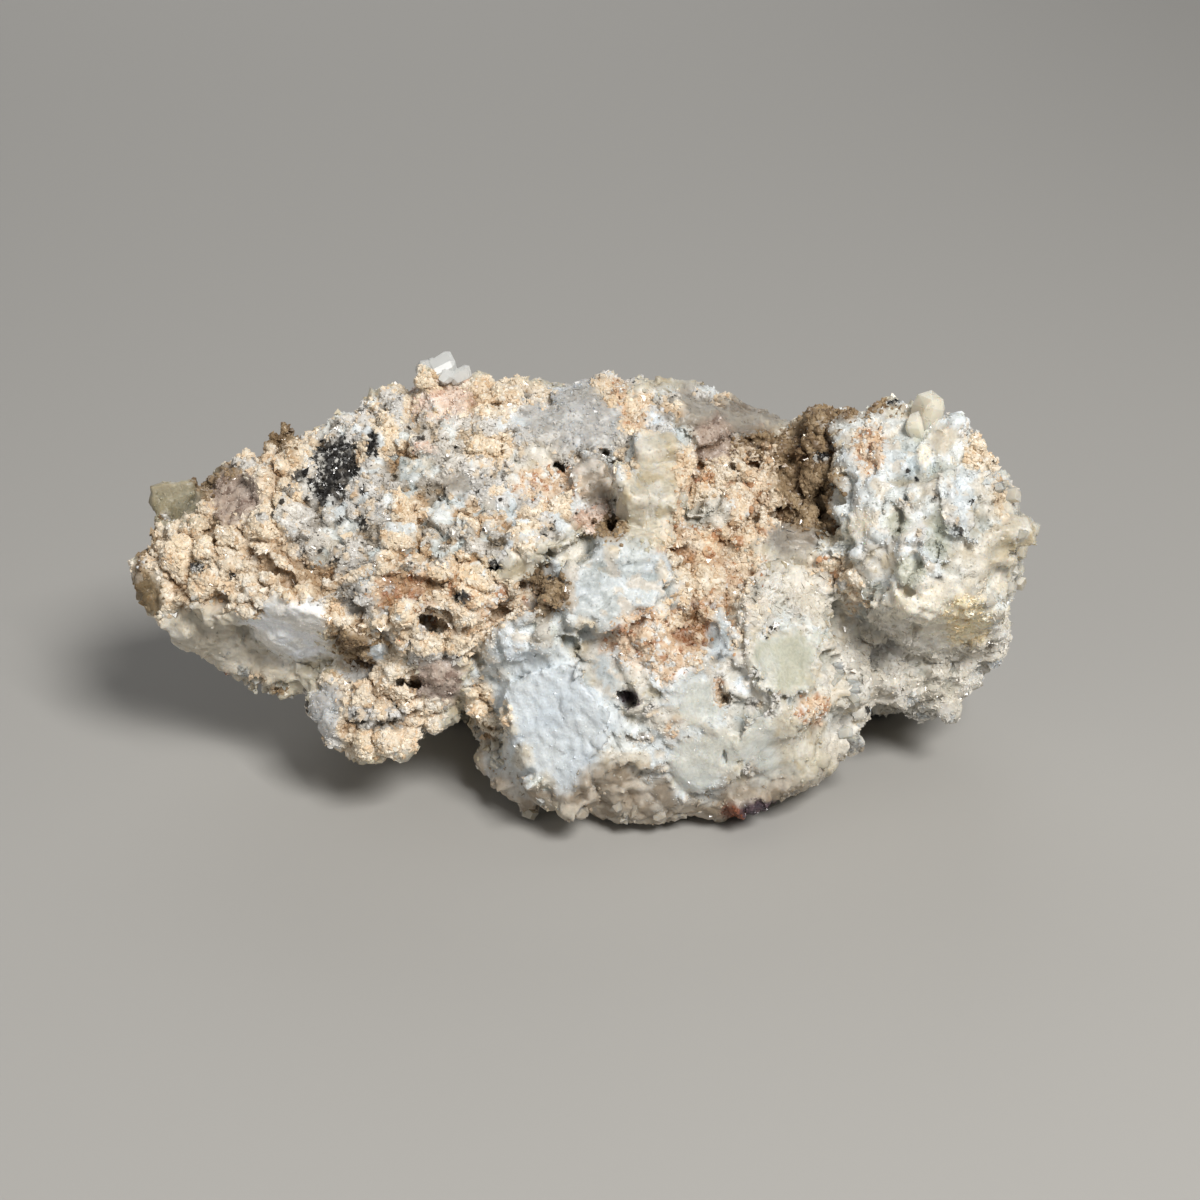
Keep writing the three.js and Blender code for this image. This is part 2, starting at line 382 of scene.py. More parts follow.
def add_sheet(field, outline, lift, flatness, softness):
    """Raises what lies inside an outline, and draws it towards a plane."""
    corners = field.hits(outline)
    middle, normal = plane_behind(field, outline)
    slices, points, old = field.around(corners, SHEET_MARGIN)
    columns, rows, _ = to_photo(points)
    edge = outline_distance(columns, rows, outline) + ragged(points, *SHEET_EDGE)
    share = smooth(-edge, -softness, softness)
    plane = (points - middle) @ normal
    share = share * (np.abs(old) < BAND_VOXELS * VOXEL - 0.5) * (plane > -SHEET_DEPTH)
    flat = np.where(np.abs(plane - old) < SHEET_PULL, plane, old)
    field.put(slices, old + share * (flatness * (flat - old) - lift))


def add_plate(field, outline, lift, thickness):
    """A flat plate with a ragged edge, whose face stands that far out of the surface."""
    middle, normal = plane_behind(field, outline)
    across = ray_directions(outline)
    corners = EYE + across * (((middle - EYE) @ normal) / (across @ normal))[:, None]
    slices, points, old = field.around(corners, PLATE_MARGIN)
    columns, rows, _ = to_photo(points)
    edge = outline_distance(columns, rows, outline) + ragged(points, *PLATE_EDGE)
    height = (points - middle) @ normal - lift + thickness / 2
    plate = np.maximum(edge * MM_PER_PX, np.abs(height) - thickness / 2)
    field.put(slices, np.minimum(old, plate))


def blended(old, new, blend):
    """Two solids joined with a rounded seam."""
    mix = np.clip(0.5 + 0.5 * (old - new) / blend, 0, 1)
    return old * (1 - mix) + new * mix - blend * mix * (1 - mix)


def add_lump(field, pixel, radius, lift):
    """A rounded lump whose crown stands that far out of the surface."""
    place = field.hits([pixel])
    centre = place[0] + (lift - radius) * field.normals(place)[0]
    slices, points, old = field.around(centre[None], radius + LUMP_MARGIN)
    ball = np.linalg.norm(points - centre, axis=1) - radius
    ball = ball + LUMP_BUMPS * radius * noise(points, LUMP_BUMP_SIZE * radius, CHANNEL["lump"])
    field.put(slices, blended(old, ball, LUMP_SEAM))


def add_hole(field, pixel, half, depth):
    """A hollow of that half-width and half-height in pixels, going straight back from the camera."""
    place = field.hits([pixel])
    slices, points, old = field.around(place, depth + HOLE_MARGIN)
    columns, rows, deep = to_photo(points)
    wide = np.hypot((columns - pixel[0]) / half[0], (rows - pixel[1]) / half[1])
    wide = wide + HOLE_BUMPS * noise(points, HOLE_BUMP_SIZE, CHANNEL["hole"])
    start = to_photo(place)[2][0]
    bore = np.maximum((wide - 1) * min(half) * MM_PER_PX, deep - start - depth)
    field.put(slices, np.maximum(old, -bore))


def turn_matrix(angles):
    """The matrix of turns in degrees."""
    return np.array(Euler([math.radians(a) for a in angles]).to_matrix())


def pushed(place, push):
    """A place moved right, up and towards the camera."""
    return place + push[0] * RIGHT + push[1] * UPWARD - push[2] * FORWARD


def add_box(field, pixel, push, size, angles):
    """A skewed block with worn edges, grown into the surface behind a pixel."""
    centre = pushed(field.hits([pixel])[0], push)
    slices, points, old = field.around(centre[None], 0.6 * np.linalg.norm(size) + BOX_MARGIN)
    local = wander(points - centre, *BOX_WANDER) @ turn_matrix(angles)
    local[:, 0] += BOX_SKEW * local[:, 2]
    out = np.abs(local) - np.array(size) / 2 + BOX_ROUNDING
    box = np.linalg.norm(np.maximum(out, 0), axis=1) + np.minimum(out.max(axis=1), 0) - BOX_ROUNDING
    box = box + BOX_BUMPS * noise(points, BOX_BUMP_SIZE, CHANNEL["box_skin"])
    field.put(slices, np.minimum(old, box))


def path_distance(points, path):
    """Distance to a chain of straight stretches."""
    distance = np.full(len(points), np.inf)
    for a, b in zip(path[:-1], path[1:]):
        distance = np.minimum(distance, stretch_distance(points, a, b))
    return distance


def add_path(field, pixels, radius, raised):
    """A ridge along a chain of pixels, or a groove where it isn't raised."""
    path = field.hits(pixels)
    slices, points, old = field.around(path, radius + PATH_MARGIN)
    bumps = PATH_BUMPS * noise(points, PATH_BUMP_SIZE, CHANNEL["path"])
    tube = path_distance(points, path) - radius * (1 + bumps)
    field.put(slices, np.minimum(old, tube) if raised else np.maximum(old, -tube))


def add_finger(field, start, end, half, roll):
    """A blunt tapering crystal that grows from the surface behind one pixel to another pixel."""
    root = field.hits([start])[0] + half * FORWARD
    tip = EYE + to_photo(root[None])[2][0] * ray_directions([end])[0]
    length = np.linalg.norm(tip - root)
    axis = (tip - root) / length
    first, second = side_axes(axis[None])
    slices, points, old = field.around(np.stack([root, tip]), half + FINGER_MARGIN)
    local = wander(points, *FINGER_WANDER) - root
    along = local @ axis
    angle = math.radians(roll)
    across = local @ (math.cos(angle) * first[0] + math.sin(angle) * second[0])
    deep = local @ (math.cos(angle) * second[0] - math.sin(angle) * first[0])
    width = half * (1 - FINGER_TAPER * np.clip(along / length, 0, 1))
    square = np.maximum(np.abs(across), np.abs(deep))
    side = FINGER_SQUARE * square + (1 - FINGER_SQUARE) * np.hypot(across, deep) - width
    finger = np.maximum(side, np.maximum(along + FINGER_SLANT * across - length, -along - half))
    field.put(slices, blended(old, finger, FINGER_SEAM))


# Sheets: outline in pixels, how far it stands out in millimetres, how flat it is from 0 to 1, and how many
# pixels its edge takes to rise
SHEETS = {
    "snowy_sheet": (
        [(545, 602), (565, 572), (600, 550), (640, 535), (668, 543), (672, 580), (655, 618), (620, 628),
         (575, 622)], 1.4, 0.6, 1.5),
    "cream_crust": (
        [(490, 650), (505, 624), (545, 603), (580, 622), (588, 664), (545, 670),
         (503, 686)], 0.9, 0.2, 1.5),
    "left_plate": (
        [(510, 690), (545, 672), (586, 676), (600, 706), (600, 738), (586, 770), (570, 785), (545, 770),
         (515, 730)], 0.0, 0.95, 6),
    "right_panel": (
        [(756, 568), (780, 566), (806, 571), (815, 577), (841, 582), (842, 597), (835, 615), (832, 647),
         (823, 682), (794, 699), (777, 705), (756, 682), (747, 655), (749, 626),
         (753, 588)], 0.9, 0.6, 1.5),
    "pale_window": (
        [(760, 640), (790, 628), (816, 640), (818, 668), (798, 688), (768, 686),
         (757, 664)], -0.3, 0.6, 10),
    "middle_window": (
        [(672, 692), (690, 669), (715, 669), (722, 690), (711, 715), (690, 722), (674, 716)], -0.3, 0.7, 8),
    "low_window": (
        [(668, 732), (700, 723), (735, 730), (741, 760), (722, 786), (696, 782), (676, 757)], -0.3, 0.7, 8),
    "sparkly_plate": (
        [(738, 716), (782, 704), (802, 726), (790, 762), (750, 780), (736, 762)], 0.5, 0.6, 1.5),
    "bluish_plate": (
        [(243, 642), (262, 613), (300, 604), (334, 611), (348, 636), (326, 662), (290, 674),
         (257, 667)], 0.3, 0.8, 8),
    "beige_chunk": (
        [(570, 470), (585, 455), (603, 460), (613, 480), (604, 502), (580, 500)], 1.4, 0.7, 1.5),
    "mauve_face": ([(700, 425), (722, 420), (726, 440), (706, 462), (694, 452)], 0.3, 0.9, 1.5),
    "ridge_wall": (
        [(658, 380), (700, 386), (740, 402), (776, 418), (768, 432), (722, 442), (700, 446),
         (680, 420)], 0.5, 0.5, 1.5),
    "bed_beside_crust": (
        [(468, 672), (478, 622), (518, 590), (544, 560), (590, 534), (602, 546), (562, 570), (540, 600),
         (502, 626), (490, 656)], -1.7, 0.0, 1.5),
    "orange_bed": (
        [(674, 546), (700, 538), (752, 545), (750, 600), (738, 622), (702, 606), (664, 630),
         (674, 582)], -1.0, 0.0, 1.5),
    "knob_sheet_left": (
        [(830, 474), (846, 446), (872, 440), (890, 482), (880, 540), (852, 560), (835, 520)], 0.8, 0.4, 4),
    "knob_sheet_low": (
        [(888, 604), (920, 590), (960, 588), (985, 612), (942, 640), (902, 640)], 0.8, 0.4, 8),
    "knob_to_skirt": (
        [(862, 608), (900, 592), (960, 586), (1000, 602), (1003, 640), (970, 668), (915, 672),
         (870, 650)], 0.5, 0.8, 10),
    "bed_beside_knob": (
        [(812, 432), (838, 428), (832, 480), (845, 520), (852, 570), (836, 578),
         (822, 520)], -0.8, 0.0, 1.5),
    "mauve_recess": (
        [(216, 486), (240, 476), (262, 490), (258, 515), (228, 522), (210, 505)], -1.2, 0.6, 1.5),
}

# Plates: outline in pixels, how far the face stands out and how thick the plate is in millimetres
PLATES = {
    "left_plate": (
        [(508, 683), (545, 670), (572, 664), (588, 672), (586, 690), (598, 704), (608, 716), (602, 738),
         (592, 760), (584, 790), (572, 798), (556, 797), (548, 788), (534, 773), (512, 744),
         (500, 718)], 1.0, 1.6),
    "knob_face": (
        [(938, 470), (962, 462), (988, 474), (991, 500), (985, 520), (980, 545), (955, 540), (940, 525),
         (934, 500)], 0.6, 1.2),
}

# Blunt crystals at the outline: pixels of the root and the tip, half-width in millimetres, roll in degrees
FINGERS = {
    "rim_large": ((994, 531), (1034, 532), 2.3, 20),
    "rim_upper": ((1002, 500), (1018, 490), 1.0, 50),
    "rim_top": ((982, 466), (994, 458), 1.1, 10),
    "rim_middle": ((992, 560), (1013, 556), 1.5, 35),
    "rim_low": ((990, 586), (1010, 590), 1.4, 65),
    "rim_lowest": ((988, 612), (1004, 610), 1.0, 5),
    "skirt_finger": ((982, 636), (1008, 631), 1.2, 40),
    "skirt_finger_low": ((982, 654), (1002, 658), 1.2, 75),
    "skirt_tip": ((944, 700), (952, 720), 1.4, 25),
    "skirt_bump": ((900, 696), (906, 706), 1.2, 60),
    "heel_top": ((496, 750), (484, 752), 1.3, 15),
    "heel_side": ((516, 780), (494, 786), 1.5, 45),
    "heel_down": ((534, 790), (530, 814), 1.7, 30),
    "heel_fill": ((548, 788), (556, 806), 2.2, 70),
    "heel_fill_right": ((580, 796), (590, 810), 2.2, 0),
    "rusty_foot": ((738, 796), (737, 816), 1.1, 30),
    "purple_foot": ((751, 794), (752, 814), 0.9, 10),
    "purple_foot_right": ((762, 792), (765, 811), 0.9, 50),
    "foot_drop": ((568, 800), (567, 818), 1.4, 55),
    "amber_edge": ((154, 592), (138, 580), 1.5, 20),
    "amber_edge_low": ((156, 604), (146, 607), 1.4, 40),
    "ice_left": ((182, 622), (166, 628), 2.0, 10),
    "ice_left_low": ((202, 632), (194, 640), 1.8, 60),
    "ice_low": ((240, 660), (228, 670), 2.2, 35),
    "ice_lowest": ((258, 668), (250, 677), 1.8, 80),
    "ice_right": ((286, 676), (280, 688), 2.0, 25),
    "brown_outline": ((296, 448), (284, 430), 1.7, 50),
    "brown_outline_low": ((280, 452), (270, 440), 1.4, 5),
}

# Blocky crystals: pixel, push in millimetres as right, up and towards the camera, size, turn in degrees
BOXES = {
    "honey_upper": ((656, 455), (0, 0.2, 0.0), (5.2, 5.0, 5.2), (14, -10, 16)),
    "honey_lower": ((658, 503), (0, 0, 0.0), (7.0, 6.0, 6.4), (18, 8, -12)),
    "honey_fin": ((630, 505), (0, 0, 0.2), (3.0, 5.0, 6.6), (18, 10, 24)),
    "grey_pane": ((687, 458), (0, 0, 0.0), (2.2, 3.6, 3.6), (20, 8, 12)),
    "left_pane": ((186, 506), (-1.2, 0.4, -2.6), (6.4, 1.8, 5.8), (-10, -8, 8)),
    "pink_block": ((708, 514), (0, 0, -0.4), (4.6, 3.0, 3.4), (24, -20, 30)),
    "chip_seat": ((446, 382), (0, -0.4, -1.2), (5.8, 4.0, 1.8), (4, -8, 22)),
}

# Lumps: pixel, radius and lift in millimetres
LUMPS = {
    "clump": [((275, 476), 3.2, 2.0)],
    "bluish_dome": [((286, 644), 7.0, 1.3)],
    "clump_shoulder": [((300, 462), 2.4, 1.4)],
    "left_end": [((160, 540), 2.6, 1.0), ((190, 600), 2.6, 1.2)],
    "mauve_knob": [((443, 679), 3.0, 1.6)],
    "tan_block": [((440, 714), 2.6, 1.6)],
    "lobe": [((395, 728), 3.4, 1.2), ((370, 690), 2.8, 1.2)],
    "valley_lumps": [((702, 482), 2.4, 1.6), ((738, 478), 2.6, 1.8), ((765, 500), 2.4, 1.6),
        ((728, 512), 2.4, 1.2)],
    "valley_wall": [((800, 450), 2.6, 1.4), ((806, 486), 2.6, 1.4)],
    "knob_shoulder": [((850, 470), 3.0, 1.0)],
    "heel_lumps": [((486, 704), 3.0, 2.2), ((490, 728), 2.6, 1.8), ((474, 688), 2.6, 1.6)],
    "knob_top": [((952, 426), 3.0, 1.5), ((975, 446), 3.0, 1.4)],
    "knob_chins": [((930, 600), 4.6, 0.6), ((966, 600), 4.4, 0.6), ((900, 596), 3.6, 0.5)],
    "crust_lumps": [((520, 640), 2.2, 1.4), ((552, 636), 2.2, 1.2)],
    "right_low": [((852, 690), 2.6, 1.4), ((858, 712), 2.4, 1.4)],
}

# Hollows: pixel, half-width and half-height in pixels, depth in millimetres
HOLES = {
    "arch": [((431, 624), (16, 13), 6.5), ((462, 598), (11, 7), 3.4)],
    "gap_over_mauve": [((408, 682), (13, 8), 5.0)],
    "hexagon": [((627, 698), (10, 8), 3.5)],
    "top_holes": [((546, 402), (6, 8), 3.0), ((498, 404), (6, 4), 2.2)],
    "gaps_round_beige_chunk": [((560, 466), (9, 7), 3.4), ((604, 455), (8, 7), 3.0),
        ((616, 470), (7, 10), 3.4)],
    "honey_recess": [((613, 526), (9, 7), 2.4)],
    "window_recess": [((722, 692), (5, 11), 1.5)],
    "window_crack": [((725, 758), (2, 9), 1.0)],
    "centre_gaps": [((548, 553), (9, 6), 2.8), ((497, 567), (9, 6), 2.8)],
    "slope_gap": [((452, 449), (6, 4), 2.0)],
    "left_gaps": [((205, 566), (9, 7), 2.0), ((233, 580), (6, 7), 1.8)],
    "valley": [((728, 468), (12, 5), 2.8), ((786, 515), (18, 10), 3.2)],
    "knob_gap": [((822, 500), (6, 22), 1.5)],
    "knob_hollows": [((895, 522), (10, 12), 1.3), ((932, 542), (7, 17), 0.9), ((912, 562), (12, 8), 1.2),
        ((905, 588), (12, 6), 1.0)],
    "valley_gaps": [((702, 468), (8, 4), 2.4), ((752, 462), (10, 4), 2.4), ((752, 520), (8, 5), 2.4),
        ((716, 498), (5, 6), 2.0), ((781, 472), (6, 9), 2.4)],
    "neck_hollow": [((884, 654), (20, 20), 0.9)],
}

# Ridges and grooves: chain of pixels, radius in millimetres
RIDGES = {
    "tan_ledge": ([(215, 618), (262, 603), (330, 590), (390, 578), (425, 572), (478, 588)], 1.7),
    "white_rib": ([(700, 606), (722, 628), (745, 660)], 1.2),
    "window_rim": ([(728, 650), (752, 652)], 1.0),
    "sheet_rim": ([(512, 622), (545, 600), (566, 570), (602, 548), (640, 536)], 1.0),
}
GROOVES = {
    "sheet_groove": ([(500, 622), (530, 600), (556, 566), (590, 546)], 1.5),
    "under_ledge": ([(330, 606), (360, 622), (385, 640), (390, 660)], 1.6),
    "lobe_crease": ([(300, 650), (340, 668), (380, 668)], 1.6),
    "left_crease": ([(205, 535), (250, 555), (285, 575)], 0.9),
    "clump_crease": ([(262, 505), (300, 512), (318, 490)], 0.9),
}


def shape_front(field):
    """Adds all the shapes of the front, each on top of those before it."""
    for pixels, radius in GROOVES.values():
        add_path(field, pixels, radius, raised=False)
    for pixels, radius in RIDGES.values():
        add_path(field, pixels, radius, raised=True)
    for sheet in SHEETS.values():
        add_sheet(field, *sheet)
    for plate in PLATES.values():
        add_plate(field, *plate)
    for finger in FINGERS.values():
        add_finger(field, *finger)
    for lump in chain.from_iterable(LUMPS.values()):
        add_lump(field, *lump)
    for box in BOXES.values():
        add_box(field, *box)
    for hole in chain.from_iterable(HOLES.values()):
        add_hole(field, *hole)


# Minerals: colours as (share, sRGB), the tint of their hollows (painted shade in creases and pits, and in the
# brown tints partly stain too), width of a spot of colour, heights of clumps and knobs, tilt of flat faces,
# heights of grit and steps, how clear it is, depth of pits, share of beads among its grains, grains for each
# square millimetre, and their smallest and largest width
# Hollow tints: the brown one is painted shade and stain together, the grey one is painted shade on pale
# minerals
BROWN_HOLLOW_SHADE_AND_STAIN = (172, 155, 134)
GREY_HOLLOW_SHADE = (190, 189, 180)
# What a mineral is like unless it says otherwise
USUAL = dict(hollow=GREY_HOLLOW_SHADE, spot=2.4, clump=0.2, knob=0.6, face=0.0, grit=0.2, step=0.4, clear=0.2,
             pit=0.0, bead=0.4, grains=6.0, sizes=(0.3, 0.6))


def stone(*colours, **own):
    """A mineral with these colours and with values of its own."""
    return {**USUAL, "colours": colours, **own}


MINERALS = {
    "tan": stone(
        (0.5, (231, 214, 189)), (0.3, (238, 226, 207)), (0.15, (222, 197, 166)), (0.05, (206, 178, 145)),
        hollow=BROWN_HOLLOW_SHADE_AND_STAIN, spot=1.1, clump=1.25, step=0.45, pit=1.0, bead=0.5, grains=7.0,
        sizes=(0.4, 0.85)),
    "orange": stone(
        (0.5, (225, 204, 176)), (0.3, (233, 218, 196)), (0.15, (215, 183, 148)), (0.05, (196, 152, 116)),
        hollow=(166, 138, 110), spot=1.0, clump=0.95, knob=0.5, step=0.35, pit=0.8, bead=0.5, grains=7.0,
        sizes=(0.36, 0.8)),
    "peach": stone(
        (0.5, (226, 207, 193)), (0.3, (234, 220, 210)), (0.2, (214, 184, 166)), hollow=BROWN_HOLLOW_SHADE_AND_STAIN,
        spot=1.0, clump=0.7, knob=0.5, grit=0.18, step=0.2, pit=0.5, sizes=(0.34, 0.7)),
    "white": stone(
        (0.6, (221, 225, 225)), (0.22, (206, 209, 207)), (0.18, (217, 210, 198)), spot=1.1, knob=0.35,
        face=0.2, grit=0.26, step=0.8, clear=0.12, pit=0.6, bead=0.12, sizes=(0.2, 0.45)),
    "pepper": stone(
        (0.5, (204, 200, 193)), (0.22, (214, 211, 206)), (0.17, (214, 198, 176)), (0.07, (150, 145, 137)),
        (0.04, (62, 58, 53)), hollow=(160, 150, 134), spot=0.8, clump=1.0, grit=0.24, clear=0.12, pit=1.1,
        grains=7.0, sizes=(0.32, 0.72)),
    "black": stone(
        (0.74, (36, 34, 32)), (0.12, (84, 80, 74)), (0.14, (196, 195, 190)), hollow=(120, 116, 110),
        spot=0.7, clump=0.8, grit=0.24, step=0.3, clear=0.0, pit=0.8, bead=0.3, grains=9.0,
        sizes=(0.3, 0.75)),
    # Brown druse, darkened to stand for the shade in the valley, in recesses and on the left rim: partly
    # painted shade.
    "brown": stone(
        (0.5, (142, 120, 92)), (0.3, (160, 138, 108)), (0.2, (115, 94, 70)), hollow=(130, 105, 79),
        spot=1.0, clump=1.1, grit=0.18, clear=0.12, pit=1.0, bead=0.45, sizes=(0.36, 0.8)),
    "mauve": stone(
        (0.5, (174, 156, 143)), (0.3, (192, 176, 163)), (0.2, (136, 116, 104)), hollow=BROWN_HOLLOW_SHADE_AND_STAIN,
        spot=0.8, clump=0.12, knob=0.4, grit=0.26, step=0.2, clear=0.15, pit=0.2, bead=0.25, grains=7.0,
        sizes=(0.24, 0.48)),
    "frost": stone(
        (0.6, (212, 219, 223)), (0.4, (219, 225, 228)), spot=1.8, clump=0.03, knob=0.03, face=0.05,
        grit=0.24, step=0.1, clear=0.15, bead=0.0, grains=5.0, sizes=(0.14, 0.3)),
    "grey": stone(
        (0.5, (180, 177, 172)), (0.35, (192, 190, 186)), (0.15, (208, 207, 204)), spot=2.0, knob=0.2,
        face=0.12, clear=0.75, pit=0.2, bead=0.3, grains=2.5),
    "yellow": stone(
        (0.6, (187, 186, 169)), (0.4, (195, 194, 181)), clump=0.05, knob=0.04, face=0.05, grit=0.08,
        step=0.1, clear=0.9, bead=0.0, grains=0.1, sizes=(0.2, 0.4)),
    "honey": stone(
        (0.5, (204, 197, 180)), (0.3, (212, 207, 195)), (0.2, (196, 184, 158)), hollow=BROWN_HOLLOW_SHADE_AND_STAIN,
        spot=2.0, clump=0.08, knob=0.06, face=0.08, grit=0.12, step=0.0, clear=0.85, bead=0.2, grains=2.2,
        sizes=(0.16, 0.36)),
    "cream": stone(
        (0.5, (210, 204, 192)), (0.3, (217, 213, 204)), (0.2, (203, 192, 171)), spot=1.4, clump=0.25,
        knob=0.3, face=0.2, grit=0.24, step=0.8, pit=0.6, bead=0.25, grains=3.5, sizes=(0.2, 0.45)),
    "calcite": stone(
        (0.5, (198, 190, 170)), (0.3, (208, 202, 187)), (0.2, (186, 174, 149)), hollow=BROWN_HOLLOW_SHADE_AND_STAIN,
        spot=2.2, clump=0.35, knob=0.25, face=0.16, grit=0.14, step=0.5, clear=0.6, pit=0.4, bead=0.3,
        grains=0.35, sizes=(0.4, 0.9)),
    "rust": stone(
        (0.36, (210, 182, 152)), (0.28, (222, 202, 178)), (0.12, (184, 140, 108)), (0.24, (224, 221, 214)),
        hollow=(160, 130, 106), spot=0.8, clump=0.5, knob=0.45, clear=0.15, pit=0.6, grains=7.0,
        sizes=(0.3, 0.65)),
    "sugar": stone(
        (0.42, (224, 226, 223)), (0.28, (208, 210, 202)), (0.3, (220, 211, 194)), spot=2.6, clump=0.25,
        knob=0.24, face=0.32, grit=0.26, step=0.9, pit=0.7, bead=0.12, sizes=(0.24, 0.58)),
    # Smoky calcite, darkened to stand for the shade on the ridge and in the valley: partly painted shade.
    "smoke": stone(
        (0.5, (148, 141, 131)), (0.5, (161, 155, 145)), hollow=BROWN_HOLLOW_SHADE_AND_STAIN, spot=2.6, clump=0.15,
        knob=0.15, face=0.12, grit=0.14, step=0.6, clear=0.7, pit=0.1, bead=0.2, grains=0.8,
        sizes=(0.25, 0.5)),
    "wax": stone(
        (0.4, (172, 161, 146)), (0.35, (188, 178, 164)), (0.25, (154, 141, 124)), hollow=BROWN_HOLLOW_SHADE_AND_STAIN,
        knob=0.15, face=0.12, grit=0.16, step=0.35, clear=0.75, pit=0.3, bead=0.25, grains=0.7),
    "glaze": stone(
        (0.6, (207, 202, 191)), (0.4, (217, 213, 205)), spot=2.0, clump=0.1, knob=0.2, face=0.3, grit=0.3,
        step=0.25, clear=0.5, pit=0.2, bead=0.0, grains=4.0, sizes=(0.3, 0.85)),
    # Grey-green of the knob's translucent pockets, which also stands for their shade: partly painted shade.
    "green": stone(
        (0.6, (180, 180, 164)), (0.4, (198, 198, 185)), spot=1.2, clump=0.4, knob=0.35, face=0.25,
        grit=0.18, clear=0.4, pit=0.3, bead=0.2, grains=4.0, sizes=(0.22, 0.46)),
    # Warm translucent calcite, darkened to match the shade on the belly under the ledge: partly painted
    # shade.
    "ice": stone(
        (0.6, (196, 188, 172)), (0.4, (206, 200, 188)), clump=0.12, knob=0.25, face=0.24, grit=0.12,
        step=0.5, clear=0.6, pit=0.1, bead=0.2, grains=0.3),
    # The yellowish pane at the left end, darkened to stand for the shade there: partly painted shade.
    "pane": stone(
        (0.6, (156, 146, 119)), (0.4, (168, 159, 135)), clump=0.1, knob=0.1, face=0.08, grit=0.08, step=0.2,
        clear=0.8, bead=0.2, grains=0.5, sizes=(0.3, 0.5)),
    "iron": stone(
        (0.6, (128, 74, 48)), (0.4, (104, 62, 44)), hollow=(120, 100, 90), spot=0.8, clump=0.3, knob=0.3,
        grit=0.16, step=0.0, clear=0.1, grains=5.0, sizes=(0.25, 0.5)),
    "plum": stone(
        (0.6, (84, 68, 74)), (0.4, (62, 52, 60)), hollow=(120, 110, 110), spot=0.8, clump=0.3, knob=0.3,
        grit=0.16, step=0.0, clear=0.1, grains=5.0, sizes=(0.25, 0.5)),
    "snow": stone(
        (0.55, (201, 206, 207)), (0.27, (184, 189, 188)), (0.18, (202, 196, 186)), spot=1.8, clump=0.1,
        knob=0.3, face=0.2, grit=0.3, step=0.5, pit=0.6, bead=0.1, sizes=(0.14, 0.34)),
    "crust": stone(
        (0.5, (210, 205, 193)), (0.3, (217, 213, 203)), (0.2, (202, 194, 177)), spot=1.6, clump=0.12,
        knob=0.25, face=0.14, grit=0.26, clear=0.25, pit=0.2, bead=0.15, grains=4.5, sizes=(0.16, 0.38)),
    # Lighter than the plate's own colour, to make up for the shade it lies in: painted light.
    "fan": stone(
        (0.6, (240, 241, 242)), (0.4, (236, 234, 229)), clump=0.05, knob=0.1, face=0.06, grit=0.22,
        step=0.3, clear=0.25, bead=0.0, grains=5.0, sizes=(0.12, 0.26)),
    # Amber calcite of the left edge, darkened to stand for the shade on that side: partly painted shade.
    "amber": stone(
        (0.6, (122, 103, 74)), (0.4, (134, 115, 86)), hollow=BROWN_HOLLOW_SHADE_AND_STAIN, spot=2.0, knob=0.2, face=0.15,
        grit=0.12, step=0.2, clear=0.8, bead=0.2, grains=1.0, sizes=(0.25, 0.5)),
    "milk": stone(
        (0.6, (207, 208, 200)), (0.4, (214, 215, 208)), clump=0.05, knob=0.06, face=0.05, grit=0.08,
        step=0.1, clear=0.85, bead=0.0, grains=1.5, sizes=(0.14, 0.3)),
    # Pale cream calcite, lightened further to make up for the shade under and on the knob: painted light.
    "pearl": stone(
        (0.6, (240, 232, 214)), (0.4, (244, 238, 224)), spot=1.6, clump=0.12, knob=0.25, face=0.14,
        grit=0.26, step=0.3, clear=0.6, pit=0.2, bead=0.15, grains=4.5, sizes=(0.16, 0.38)),
    # The yellow patch's tan, lightened to make up for the shade it lies in: painted light.
    "butter": stone(
        (0.6, (246, 226, 186)), (0.4, (250, 236, 206)), hollow=BROWN_HOLLOW_SHADE_AND_STAIN, spot=1.0, clump=0.3, knob=0.4,
        step=0.2, clear=0.6, pit=0.2),
}
MINERAL_NAMES = list(MINERALS)
HIDDEN_MINERAL = MINERAL_NAMES.index("calcite")

